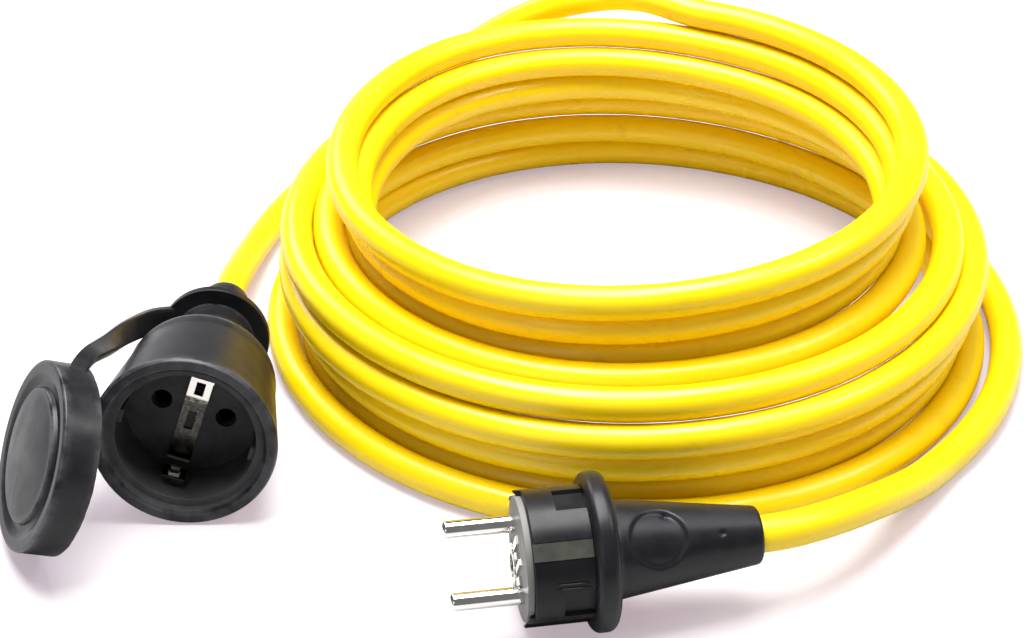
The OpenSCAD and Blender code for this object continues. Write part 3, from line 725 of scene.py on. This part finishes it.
def smooth_line(points, first, last, step):
    """A cubic spline through points, whose bend never jumps, sampled about every step.

    The slope at each point solves h1 * m0 + 2 * (h0 + h1) * m1 + h0 * m2 =
    3 * (h1 * d0 + h0 * d1), where h are the lengths and d the headings of the chords.
    """
    chord = np.diff(points, axis=0)
    h = np.linalg.norm(chord, axis=1)
    d = chord / h[:, None]
    n = len(points)
    lines = np.eye(n)
    sides = np.zeros((n, 3))
    sides[0], sides[-1] = first, last
    i = np.arange(1, n - 1)
    lines[i, i - 1], lines[i, i], lines[i, i + 1] = h[i], 2 * (h[i - 1] + h[i]), h[i - 1]
    sides[1:-1] = 3 * (h[i][:, None] * d[i - 1] + h[i - 1][:, None] * d[i])
    slope = np.linalg.solve(lines, sides)
    parts = []
    for k in range(n - 1):
        count = max(1, round(h[k] / step))
        u = (np.arange(count) / count)[:, None]
        parts.append(
            (1 + 2 * u) * (1 - u) ** 2 * points[k] + u * (1 - u) ** 2 * h[k] * slope[k]
            + u**2 * (3 - 2 * u) * points[k + 1] + u**2 * (u - 1) * h[k] * slope[k + 1]
        )
    return np.concatenate([*parts, points[-1:]])


def flex_route(scene):
    """The whole flex in millimetres: out of the gland, up on to the pile, down it and to the plug."""
    flex, coupler, plug = scene.cord_flex, scene.cord_coupler, scene.cord_plug
    socket, end = coupler_place(coupler), plug_place(plug)
    gland = socket.at([[0, 0, coupler.overall]]) / MM
    tail = end.at([[0, 0, plug.body_length + plug.flange_thick + plug.tail_length]]) / MM
    pile, low_heading, top_heading = coil_points(flex)
    before = pile[0] - flex.diameter * low_heading
    after = pile[-1] + flex.diameter * top_heading
    points = [gland, COUPLER_LEAD[::-1], [after], pile[::-1], [before], PLUG_LEAD[::-1], tail]
    return smooth_line(np.concatenate(points), socket.z, -end.z, LINE_STEP)


def side_and_up(line, reference):
    """At each point with heading t: side = t x reference and up = side x t, as unit vectors."""
    heading = np.gradient(line, axis=0)
    heading /= np.linalg.norm(heading, axis=1)[:, None]
    side = np.cross(heading, reference)
    side /= np.linalg.norm(side, axis=1)[:, None]
    return side, np.cross(side, heading)


def tube_points(line, radius, around):
    """Rings square to the line: centre + radius * (sin a * side - cos a * up), and their UV.

    Side is level. The radius swells by a little along a helix, once for each lobe, as the cores
    under the sheath do.
    """
    side, up = side_and_up(line, [0, 0, 1.0])
    along = np.concatenate([[0], np.cumsum(np.linalg.norm(np.diff(line, axis=0), axis=1))])
    angle = np.linspace(0, 2 * math.pi, around, endpoint=False)
    helix = angle[None, :] - 2 * math.pi * along[:, None] / LOBE_LAY
    reach = radius + LOBE_RELIEF * np.cos(LOBES * helix)
    points = (
        line[:, None, :]
        + (reach * np.sin(angle))[:, :, None] * side[:, None, :]
        - (reach * np.cos(angle))[:, :, None] * up[:, None, :]
    )
    across, down = np.broadcast_arrays(np.arange(around) / around, (along / (2 * math.pi * radius))[:, None])
    return points.reshape(-1, 3), np.stack([across, down], axis=-1).reshape(-1, 2)


def build_flex(scene):
    """One unbroken length of flex from the gland, round the pile and into the plug."""
    flex, line = scene.cord_flex, flex_route(scene)
    points, uv = tube_points(line, (flex.diameter + flex.press) / 2, TUBE_AROUND)
    points, faces = closed_rings(points, TUBE_AROUND, line[[0, -1]])
    uv = np.concatenate([uv, [[0.5, 0], [0.5, 0]]])
    nodes = ["cable_coil", "cable_lead_plug", "cable_lead_coupler"]
    new_piece("flex", points * MM, faces, flex_finish(scene.cord_look), nodes, uv, sharp=60)


def declare_flex(scene):
    """Works out the flex's route, and leaves it unused."""
    line = flex_route(scene)


# ---------------------------------------------------------------- coupler

SHADE_SKIN_THICK = 0.06
SHADE_SKIN_BACK = 0.4


def coupler_profile(size):
    """Half section of the housing as a closed line of (radius, height), outside first."""
    groove, after = size.groove_at, size.groove_at + size.groove_width
    seat, recess = size.seat / 2, size.recess / 2
    floor = size.seat_depth + size.recess_depth
    stop = size.stop / 2
    corners = [
        (FLEX_HOLE, size.overall, 0.4), (size.gland / 2, size.overall, 3.2),
        (size.gland / 2 + 0.8, after + 3.6, 2.0), (stop, after + 2.2, 0.8), (stop, after, 0.4),
        (size.neck / 2, after, 0.3), (size.neck / 2, groove, 0.3), (stop, groove, 0.6),
        (stop, groove - 5, 3.0), (stop + 1, groove - 8, 3.0), (17.6, size.shoulder_at + 9.6, 9.0),
        (size.shoulder / 2 - 0.1, size.shoulder_at + 3.2, 9.0),
        (size.shoulder / 2, size.shoulder_at - 2, 2.0), (size.mouth / 2, 1.0, 0.9),
        (size.mouth / 2 - 0.5, 0.0, 0.5), (seat + 1.0, 0.0, 0.35), (seat, 0.9, 0.5),
        (seat, size.seat_depth, 0.4), (recess, size.seat_depth, 0.35), (recess, floor, 0.0),
        (recess + 1.0, floor, 0.0), (recess + 1.0, floor + 7, 0.0), (17.5, floor + 7, 0.0),
        (17.5, 41.1, 0.0), (12.5, 41.1, 0.0), (12.5, 48.6, 0.0), (FLEX_HOLE, 55.0, 0.0),
    ]
    return divided(rounded(corners, 6), 2.5, closed=True)


def shade_skin_profile(size):
    """Thin skin over the seat and the recess's wall, as a closed line of (radius, height). It lies over the
    housing's own rubber and wears the recess finish, painted light for the dim inside.
    """
    seat, inner, step = size.seat / 2, size.recess / 2, size.seat_depth
    deep = step + size.recess_depth
    skin, back = SHADE_SKIN_THICK, SHADE_SKIN_BACK
    corners = [
        (seat + 0.1, 0.75, 0), (seat - skin, 1.1, 0.2), (seat - skin, step - skin, 0.3),
        (inner - skin, step - skin, 0.3), (inner - skin, deep, 0), (inner + back, deep, 0),
        (inner + back, step + back, 0), (seat + back, step + back, 0), (seat + back, 1.2, 0),
    ]
    return divided(rounded(corners), 2.5, closed=True)


def build_coupler(scene):
    """Housing, insert, earth bridge and contact sleeves of the coupler."""
    size, look = scene.cord_coupler, scene.cord_look
    place, recess = coupler_place(size), finish_of(look, "recess")
    rubber = finish_of(look, "rubber")
    turned_piece("coupler_shell", coupler_profile(size), place, rubber, "coupler_housing", 160)
    # a skin over the housing's own seat and wall in the recess finish: painted light for the dim inside
    turned_piece("coupler_liner", shade_skin_profile(size), place, recess, "coupler_insert", 120, instead=False)
    softened("coupler_insert", "coupler_face", 0.25, recess)
    floor = sleeve_place(size).moved((0, 0, size.seat_depth + size.recess_depth))
    softened("coupler_earth_bridge", "earth_bridge", 0.12, bridge_finish(look, floor))
    for pole in ("live", "neutral"):
        softened("socket_" + pole, "sleeve_" + pole, 0.1, finish_of(look, "sleeve"))


# ---------------------------------------------------------------- cap, strap and collar

STRAP_LINE = [
    (-11.2, 6.4, 67.5, 0), (-15.9, 8.2, 62.5, 0), (-19.6, 11.0, 52.5, -10), (-22.2, 13.6, 42, -25),
    (-24.4, 17.6, 26, -45), (-26, 22.2, 11, -62), (-26.6, 24.4, 2.5, -70), (-26.7, 25.3, -2.5, -73),
]
STRAP_STEP = 1.2
STRAP_TAPER = 0.3
STRAP_THINNING = 0.4
STRAP_FREE = 0.78
STRAP_SINK = 2.7
DISC_CROWN = 1.7


def cap_profile(size):
    """Half section of the cap from the pole inside to the pole of the raised disc."""
    radius, inner = size.cap / 2, size.cap / 2 - size.cap_wall
    face, disc = -size.cap_depth, size.cap_disc / 2
    inside = size.cap_face + face
    corners = [
        (0, inside, 0), (inner, inside, 0.8), (inner, -size.cap_lead, 0.4),
        (inner + size.cap_lead, 0, 0.15), (radius, 0, 0.25), (radius, face + 0.2, 1.6),
        (radius - 1.2, face, 1.2), (radius - 3.4, face + 0.1, 1.2), (disc + 1.9, face + 1.25, 1.5),
        (disc + 0.4, face + 1.1, 0.5), (disc - 0.1, face - 0.55, 0.8),
    ]
    flat = rounded(corners, 5)
    rest = 1 - np.linspace(0, 1, 14)[1:]
    top = face - DISC_CROWN
    dome = np.stack([flat[-1, 0] * rest, top + (flat[-1, 1] - top) * rest**2], 1)
    return np.concatenate([divided(flat, 2.0), dome])


def ragged_lip(radius, height, angle):
    """Thin uneven flash on the lip: a sum of sines lifts only the outer edge of the skirt."""
    flash = 0.5 + 0.25 * (np.sin(7 * angle) + np.sin(17 * angle + 1.3) + 0.8 * np.sin(41 * angle + 0.4))
    lip = (height > -0.4) & (radius > radius.max() - 0.6)
    return radius, height + np.where(lip, 0.16 * np.clip(flash, 0, 1.2) - 0.2, 0)


def build_cap(scene):
    """Cap, strap and collar."""
    size, rubber = scene.cord_coupler, finish_of(scene.cord_look, "rubber")
    domed_piece("cap", cap_profile(size), cap_place(size), rubber, "sealing_cap", 180, ragged_lip)
    softened("strap_collar", "collar", 0.35, rubber)
    build_strap(size, rubber)


def build_strap(size, rubber):
    """The strap: a rounded rectangle carried from the collar to the skirt, rolling on its way.

    At each point t is the heading, side = t x down and up = side x t. With the roll r, the thin way
    is cos r * side + sin r * up and the broad way is cos r * up - sin r * side.
    """
    place, cap = coupler_place(size), cap_place(size)
    route = np.array([(x, -up, z) for x, up, z, roll in STRAP_LINE])
    chords = np.diff(route, axis=0)
    line = smooth_line(route, unit(chords[0]), unit(chords[-1]), STRAP_STEP)
    reach = np.concatenate([[0], np.cumsum(np.linalg.norm(chords, axis=1))])
    along = np.linspace(0, 1, len(line))
    roll = np.radians(np.interp(along, reach / reach[-1], [q[3] for q in STRAP_LINE]))[:, None]
    near = np.clip((along - STRAP_FREE) / (1 - STRAP_FREE), 0, 1)
    beside = cap.local(place.at(line))
    out = np.linalg.norm(beside[:, :2], axis=1)
    beside[:, :2] *= ((out - STRAP_SINK * near**2) / out)[:, None]
    line = place.local(cap.at(beside))
    side, up = side_and_up(line, [0.0, 1.0, 0.0])
    thin = np.cos(roll) * side + np.sin(roll) * up
    broad = np.cos(roll) * up - np.sin(roll) * side
    corners = [(1, 1, 0.28), (-1, 1, 0.28), (-1, -1, 0.28), (1, -1, 0.28)]
    section = divided(rounded(corners, 3), 0.5, closed=True)
    slim = 1 - STRAP_TAPER * np.clip((along - 0.25) / 0.6, 0, 1)
    half_thick = size.strap_thick / 2 * (1 - STRAP_THINNING * near)[:, None, None]
    half_broad = size.strap_height / 2 * slim[:, None, None]
    points = (
        line[:, None, :]
        + section[None, :, :1] * half_thick * thin[:, None, :]
        + section[None, :, 1:] * half_broad * broad[:, None, :]
    )
    points, faces = closed_rings(points.reshape(-1, 3), len(section), line[[0, -1]])
    strap = new_piece("strap", place.at(points), faces, rubber, ["cap_strap"])
    place.at(line[:1])[0]
    place.at(line[-1:])[0]
    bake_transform(strap)


# ---------------------------------------------------------------- plug

STRIP_TURN = 6.0
LEDGE_AT = 0.27
LEDGE_SPAN = 0.06
BORE = 13.5
RECESS_BACK, RECESS_RADIUS, RECESS_DEPTH = 18.0, 7.6, 0.9
PITS = [(56.0, 38.3), (91.0, 53.0)]
EARTH_AT = -10.0
FACE_PLATES = [
    (-5.6, -1.5, 2.2, 7.0, 8), (-2.2, 1.2, 1.7, 8.5, -6), (1.0, -0.6, 1.9, 5.5, 12), (3.9, 0.8, 2.3, 8.0, -4),
]


def off_from(angle, facing):
    """How far an angle lies from another, from -pi to pi."""
    return (angle - facing + math.pi) % (2 * math.pi) - math.pi


def carve(radius, angle, height, facing, half_width, floor, low, high, edge=0.22):
    """Sinks a flat floor into a round surface.

    The floor faces the given angle and lies at the distance floor from the axis, so there the radius
    is floor / cos(angle - facing). It fades in over the edge's width at all four sides.
    """
    off = off_from(angle, facing)
    aside = np.abs(radius * np.sin(off))
    inside = np.clip((half_width - aside) / edge + 0.5, 0, 1)
    inside *= np.clip((height - low) / edge + 0.5, 0, 1) * np.clip((high - height) / edge + 0.5, 0, 1)
    inside = np.where(np.abs(off) < math.pi / 3, inside, 0)
    flat = floor / np.maximum(np.cos(off), 0.3)
    return radius + inside * np.minimum(flat - radius, 0)


def dense(span, marks, coarse, reach=0.5, count=7):
    """Sample places over a span, close together near each mark."""
    first, last = span
    base = np.linspace(first, last, max(2, round((last - first) / coarse) + 1))
    near = [mark + reach * np.linspace(-1, 1, count) for mark in marks]
    every = np.unique(np.round(np.concatenate([base, *near]), 4))
    return every[(every >= first) & (every <= last)]


def body_cuts(radius, low, high):
    """Cuts of the front body as (facing, half width, floor, low, high).

    Notches in line with the pins, seats of the earth strips, two pockets beside each seat and two
    fine lines.
    """
    cuts = [(facing, 3.5, radius - 2.2, low - 1, high + 1) for facing in (0.0, math.pi)]
    for side in (math.radians(90 + STRIP_TURN), math.radians(STRIP_TURN - 90)):
        cuts.append((side, 2.35, radius - 0.85, low - 1, high - 0.4))
        cuts += [(side + math.radians(lean), 4.25, radius - 1.6, high - 8, high + 1) for lean in (-50, 50)]
        cuts += [
            (side + math.radians(lean), 0.22, radius - 0.35, high - 10.5, high - 2.5) for lean in (27, 31)
        ]
    return cuts


def build_plug_body(size, material):
    """Front body: a cylinder with its cuts, sampled closely at each cut's sides."""
    radius, low, high = size.body / 2, size.carrier_out, size.body_length
    cuts = body_cuts(radius, low, high)
    marks = [
        (facing + sign * math.asin(half / radius) + 2 * math.pi) % (2 * math.pi)
        for facing, half, *_ in cuts
        for sign in (-1, 1)
    ]
    angle = dense((0, 2 * math.pi), marks, math.radians(3), reach=math.radians(1.2))[:-1]
    profile = rounded([(BORE, low, 0), (radius, low, 0.35), (radius, high, 0.2), (BORE, high, 0)], 4)
    rows = []
    for start, end in zip(profile[:-1], profile[1:]):
        share = np.array([0, 0.5])
        if abs(end[1] - start[1]) > 3:
            places = dense((start[1], end[1]), [high - 8, high - 0.4], 1.2, reach=0.3)[:-1]
            share = (places - start[1]) / (end[1] - start[1])
        rows.append(start + (end - start) * share[:, None])
    rows = np.concatenate([*rows, profile[-1:]])
    radii, heights, angles = np.broadcast_arrays(rows[:, :1], rows[:, 1:], angle)
    notched = np.abs(np.abs(np.sin(angles)) - math.sin(LEDGE_AT)) < LEDGE_SPAN
    heights = np.where(notched & (heights < low + 0.6) & (radii > radius - 1.2), heights - low, heights)
    for cut in cuts:
        radii = np.where(radii > BORE + 0.5, carve(radii, angles, heights, *cut), radii)
    points = np.stack([radii * np.cos(angles), radii * np.sin(angles), heights], axis=-1).reshape(-1, 3)
    faces = [lattice(len(rows), len(angle), close_rows=True)]
    points = plug_place(size).at(points)
    piece = new_piece("plug_front_body", points, faces, material, ["plug_body"], sharp=28)
    mark_edges(piece, np.repeat(corner_wear(rows, closed=True), len(angle)))


def plug_tail_profile(size):
    """Half section of the flange and tail as a closed line, outside first."""
    front, back = size.body_length, size.body_length + size.flange_thick
    end, flange, tip = back + size.tail_length, size.flange / 2, size.tail_end / 2
    corners = [
        (12.25, front, 0), (flange, front, 2.2), (flange, back, 2.6), (size.tail_root / 2, back, 1.6),
        (tip, end, 1.3), (FLEX_HOLE, end, 0.3), (FLEX_HOLE, back + 8, 0), (12.25, front + 6, 0),
    ]
    line = rounded(corners, 7)
    first = np.argmax((line[:, 1] > back - 0.5) & (line[:, 0] > FLEX_HOLE + 1))
    return np.concatenate([line[:first], divided(line[first:], 0.45)])


def tail_relief(size):
    """Round recess on both broad sides of the tail, and two small pits on the near side."""

    def shape(radius, height, angle):
        outside = (radius > 6) & (height > size.body_length + size.flange_thick + 0.5)
        for facing in (math.pi / 2, -math.pi / 2):
            off = off_from(angle, facing)
            away = np.hypot(radius * np.sin(off), height - size.body_length - RECESS_BACK)
            inside = np.clip((RECESS_RADIUS - away) / 1.3 + 0.5, 0, 1)
            inside = inside * inside * (3 - 2 * inside)
            inside = np.where(outside & (np.abs(off) < math.pi / 2), inside, 0)
            radius = radius - RECESS_DEPTH * inside
        for turn, place in PITS:
            away = np.hypot(radius * off_from(angle, math.radians(turn)), height - place)
            radius = np.where(outside, radius - 0.55 * np.exp(-((away / 0.75) ** 2)), radius)
        return radius, height

    return shape


def ragged_ring(radius, height, angle):
    """Adds a sum of sines of the angle to the ring's outer radius."""
    edge = 0.35 * (np.sin(5 * angle + 0.6) + np.sin(11 * angle) + 0.7 * np.sin(23 * angle + 2))
    return np.where(radius > 4.5, radius + edge, radius), height


def build_face_metal(look, place):
    """Bare metal on the plug's face: a ragged ring round the earth hole and bent plates beside it.

    A plate is a box of (x, y, width, length, turn in degrees) that stands out of a black bed.
    """
    bright, hole = finish_of(look, "bright"), place.moved((0, EARTH_AT, 0))
    for name, inner, outer, low, high, material in (
        ("plug_face_bed", 3.1, 6.2, -0.2, 0.3, finish_of(look, "hard")),
        ("plug_face_ring", 3.3, 5.3, -0.65, -0.1, bright),
    ):
        section = np.array([(outer, high), (outer, low), (inner, low), (inner, high)], float)
        turned_piece(name, section, hole, material, "plug_earth_clips", 96, ragged_ring, instead=False)
    boxes, faces = [], []
    square = np.array([(-1, -1), (1, -1), (1, 1), (-1, 1)], float) / 2
    for k, (x, y, width, tall, turn) in enumerate(FACE_PLATES):
        corners = square * [width, tall] * [[1, 1], [0.8, 0.9], [1.1, 1], [0.9, 1.05]]
        spin = math.radians(turn)
        corners = corners @ np.array([[math.cos(spin), math.sin(spin)], [-math.sin(spin), math.cos(spin)]])
        boxes += [np.column_stack([corners + [x, y], np.full(4, z)]) for z in (0.2, -0.6)]
        faces += [8 * k + np.array([(0, 3, 2, 1), (4, 5, 6, 7)]), 8 * k + lattice(2, 4)]
    points = place.at(np.concatenate(boxes))
    new_piece("plug_face_plates", points, faces, bright, ["plug_earth_clips"], instead=False)


def pin_profile(size):
    """Half section of a pin with a rounded tip, and of its shank inside."""
    radius = size.pin / 2
    corners = [
        (0, -size.pin_out, 0), (radius, -size.pin_out, 1.7), (radius, 0, 0.15), (2.1, 0, 0),
        (2.1, 12, 0), (1.0, 12, 0), (1.0, 15, 0), (0, 15, 0),
    ]
    return divided(rounded(corners, 8), 1.5)


def build_plug(scene):
    """Housing, front body, face, pins and earth contacts of the plug."""
    size, look = scene.cord_plug, scene.cord_look
    place, rubber = plug_place(size), finish_of(look, "rubber")
    relief = tail_relief(size)
    turned_piece("plug_shell", plug_tail_profile(size), place, rubber, "plug_housing", 220, relief)
    build_plug_body(size, finish_of(look, "hard"))
    softened("plug_face_insert", "plug_face", 0.2, finish_of(look, "face"))
    for sign, pole in ((1, "live"), (-1, "neutral")):
        here = place.moved((sign * size.pin_pitch / 2, 0, 0))
        domed_piece("plug_pin_" + pole, pin_profile(size), here, finish_of(look, "nickel"), "pin_" + pole, 64)
    softened("plug_earth_clips", "plug_strips", 0.12, finish_of(look, "tin"), (place, STRIP_TURN))
    build_face_metal(look, place)
    softened("plug_earth_socket", "plug_earth_sleeve", 0.1, finish_of(look, "brass"))


# ---------------------------------------------------------------- inner pieces


def dress_inner(scene):
    """Finishes of the solids that stay as they are inside the housings."""
    look = scene.cord_look
    finishes = {"coupler_back_cover": finish_of(look, "hard")}
    for end in ("coupler", "plug"):
        finishes[end + "_crimps"] = finish_of(look, "brass")
        finishes[end + "_sheath_end"] = flex_finish(look)
        for pole in ("live", "neutral", "earth"):
            finishes[f"{end}_core_{pole}"] = finish_of(look, pole)
    for node, material in finishes.items():
        NODES[node].data.materials.clear()
        NODES[node].data.materials.append(material)


# ---------------------------------------------------------------- stage

FLOOR_REACH = 6.0
FLOOR_LIFT = 0.42
ROOM_LIGHT = 0.19
LAMPS = [
    ("overhead", (-0.05, 0.1, 1.0), 0.7, 24.0),
    ("back", (-0.6, 0.8, 0.7), 0.5, 4.0),
    ("side", (0.6, -0.07, 0.75), 0.25, 2.0),
    ("front", (-0.5, -0.9, 0.5), 0.4, 0.8),
]


def floor_finish():
    """White paper: matt white that takes shadows, a little brighter to the camera alone."""
    material = bpy.data.materials.new("White floor")
    material.use_nodes = True
    tree = material.node_tree
    tree.nodes.clear()
    paper = wire(tree, "BsdfDiffuse", (0.52, 0.51, 0.52, 1))
    seen = wire(tree, "LightPath", out="Is Camera Ray")
    glow = wire(tree, "Emission", (1.0, 0.84, 0.94, 1), reckon(tree, "MULTIPLY", seen, FLOOR_LIFT))
    surface = wire(tree, "AddShader", paper, glow)
    feed(tree, tree.nodes.new("ShaderNodeOutputMaterial"), {"Surface": surface})
    return material


def linked(name, data, place, aim):
    """An object of a lamp or a camera that looks at a point."""
    thing = bpy.data.objects.new(name, data)
    thing.location = place
    thing.rotation_euler = (aim - place).to_track_quat("-Z", "Y").to_euler()
    bpy.context.scene.collection.objects.link(thing)
    return thing


def build_camera(scene):
    """The camera looks down at the aim from in front."""
    stage = scene.cord_stage
    data = bpy.data.cameras.new("camera")
    data.lens = stage.lens
    data.sensor_width = 36.0
    aim = Vector(stage.aim)
    scene.camera = linked("camera", data, aim + Vector((0, -stage.back, stage.height)), aim)


def build_stage(scene):
    """Floor, lamps and white surroundings."""
    aim = Vector(scene.cord_stage.aim)
    square = ((-1, -1), (1, -1), (1, 1), (-1, 1))
    corners = [(x * FLOOR_REACH, y * FLOOR_REACH, -0.0002) for x, y in square]
    mesh = bpy.data.meshes.new("floor")
    mesh.from_pydata(corners, [], [(0, 1, 2, 3)])
    mesh.materials.append(floor_finish())
    floor = bpy.data.objects.new("floor", mesh)
    scene.collection.objects.link(floor)
    for name, place, size, power in LAMPS:
        data = bpy.data.lights.new(name, "AREA")
        data.shape = "SQUARE"
        data.size = size
        data.energy = power
        linked(name, data, aim + Vector(place), aim)
    world = bpy.data.worlds.new("White room")
    world.use_nodes = True
    room = {"Color": (1, 1, 1, 1), "Strength": ROOM_LIGHT}
    feed(world.node_tree, world.node_tree.nodes["Background"], room)
    scene.world = world
    scene.view_settings.view_transform = "Standard"


# ---------------------------------------------------------------- operators


class CORD_OT_camera(bpy.types.Operator):
    """Set up the camera"""

    bl_idname = "cord.camera"
    bl_label = "Camera"

    def execute(self, context):
        build_camera(context.scene)
        return {"FINISHED"}


class CORD_OT_flex(bpy.types.Operator):
    """Build the flex"""

    bl_idname = "cord.flex"
    bl_label = "Flex"

    def execute(self, context):
        build_flex(context.scene)
        return {"FINISHED"}


class CORD_OT_coupler(bpy.types.Operator):
    """Build the coupler socket"""

    bl_idname = "cord.coupler"
    bl_label = "Coupler"

    def execute(self, context):
        build_coupler(context.scene)
        return {"FINISHED"}


class CORD_OT_cap(bpy.types.Operator):
    """Build the cap, its strap and its collar"""

    bl_idname = "cord.cap"
    bl_label = "Cap and strap"

    def execute(self, context):
        build_cap(context.scene)
        return {"FINISHED"}


class CORD_OT_plug(bpy.types.Operator):
    """Build the plug"""

    bl_idname = "cord.plug"
    bl_label = "Plug"

    def execute(self, context):
        build_plug(context.scene)
        return {"FINISHED"}


class CORD_OT_inner(bpy.types.Operator):
    """Give the pieces inside the housings their finishes"""

    bl_idname = "cord.inner"
    bl_label = "Inner pieces"

    def execute(self, context):
        dress_inner(context.scene)
        return {"FINISHED"}


class CORD_OT_declare(bpy.types.Operator):
    bl_idname = "cord.declare"
    bl_label = "Declare the flex"

    def execute(self, context):
        declare_flex(context.scene)
        return {"FINISHED"}


class CORD_OT_stage(bpy.types.Operator):
    """Set up the floor, the lamps and the surroundings"""

    bl_idname = "cord.stage"
    bl_label = "Stage"

    def execute(self, context):
        build_stage(context.scene)
        return {"FINISHED"}


STEPS = [
    CORD_OT_camera, CORD_OT_flex, CORD_OT_coupler, CORD_OT_cap, CORD_OT_plug, CORD_OT_inner,
    CORD_OT_declare, CORD_OT_stage,
]


class CORD_PT_panel(bpy.types.Panel):
    """Lists the sizes and the steps that build the cord"""

    bl_idname = "CORD_PT_panel"
    bl_label = "Extension Cord"
    bl_space_type = "VIEW_3D"
    bl_region_type = "UI"
    bl_category = "Cord"

    def draw(self, context):
        for name, group in SETTINGS.items():
            box = self.layout.box()
            box.label(text=group.__doc__)
            for label in group.__annotations__:
                box.prop(getattr(context.scene, name), label)
        for step in STEPS:
            self.layout.operator(step.bl_idname)


def register():
    """Registers the classes and hangs the settings on the scene."""
    for kind in [*SETTINGS.values(), *STEPS, CORD_PT_panel]:
        bpy.utils.register_class(kind)
    for name, group in SETTINGS.items():
        setattr(bpy.types.Scene, name, PointerProperty(type=group))


def unregister():
    """Takes the settings and the classes away again."""
    for name in SETTINGS:
        delattr(bpy.types.Scene, name)
    for kind in [CORD_PT_panel, *reversed(STEPS), *SETTINGS.values()]:
        bpy.utils.unregister_class(kind)


def main():
    """Registers the settings and builds everything in order."""
    register()
    for step in STEPS:
        group, name = step.bl_idname.split(".")
        getattr(getattr(bpy.ops, group), name)()


if __name__ == "__main__":
    main()
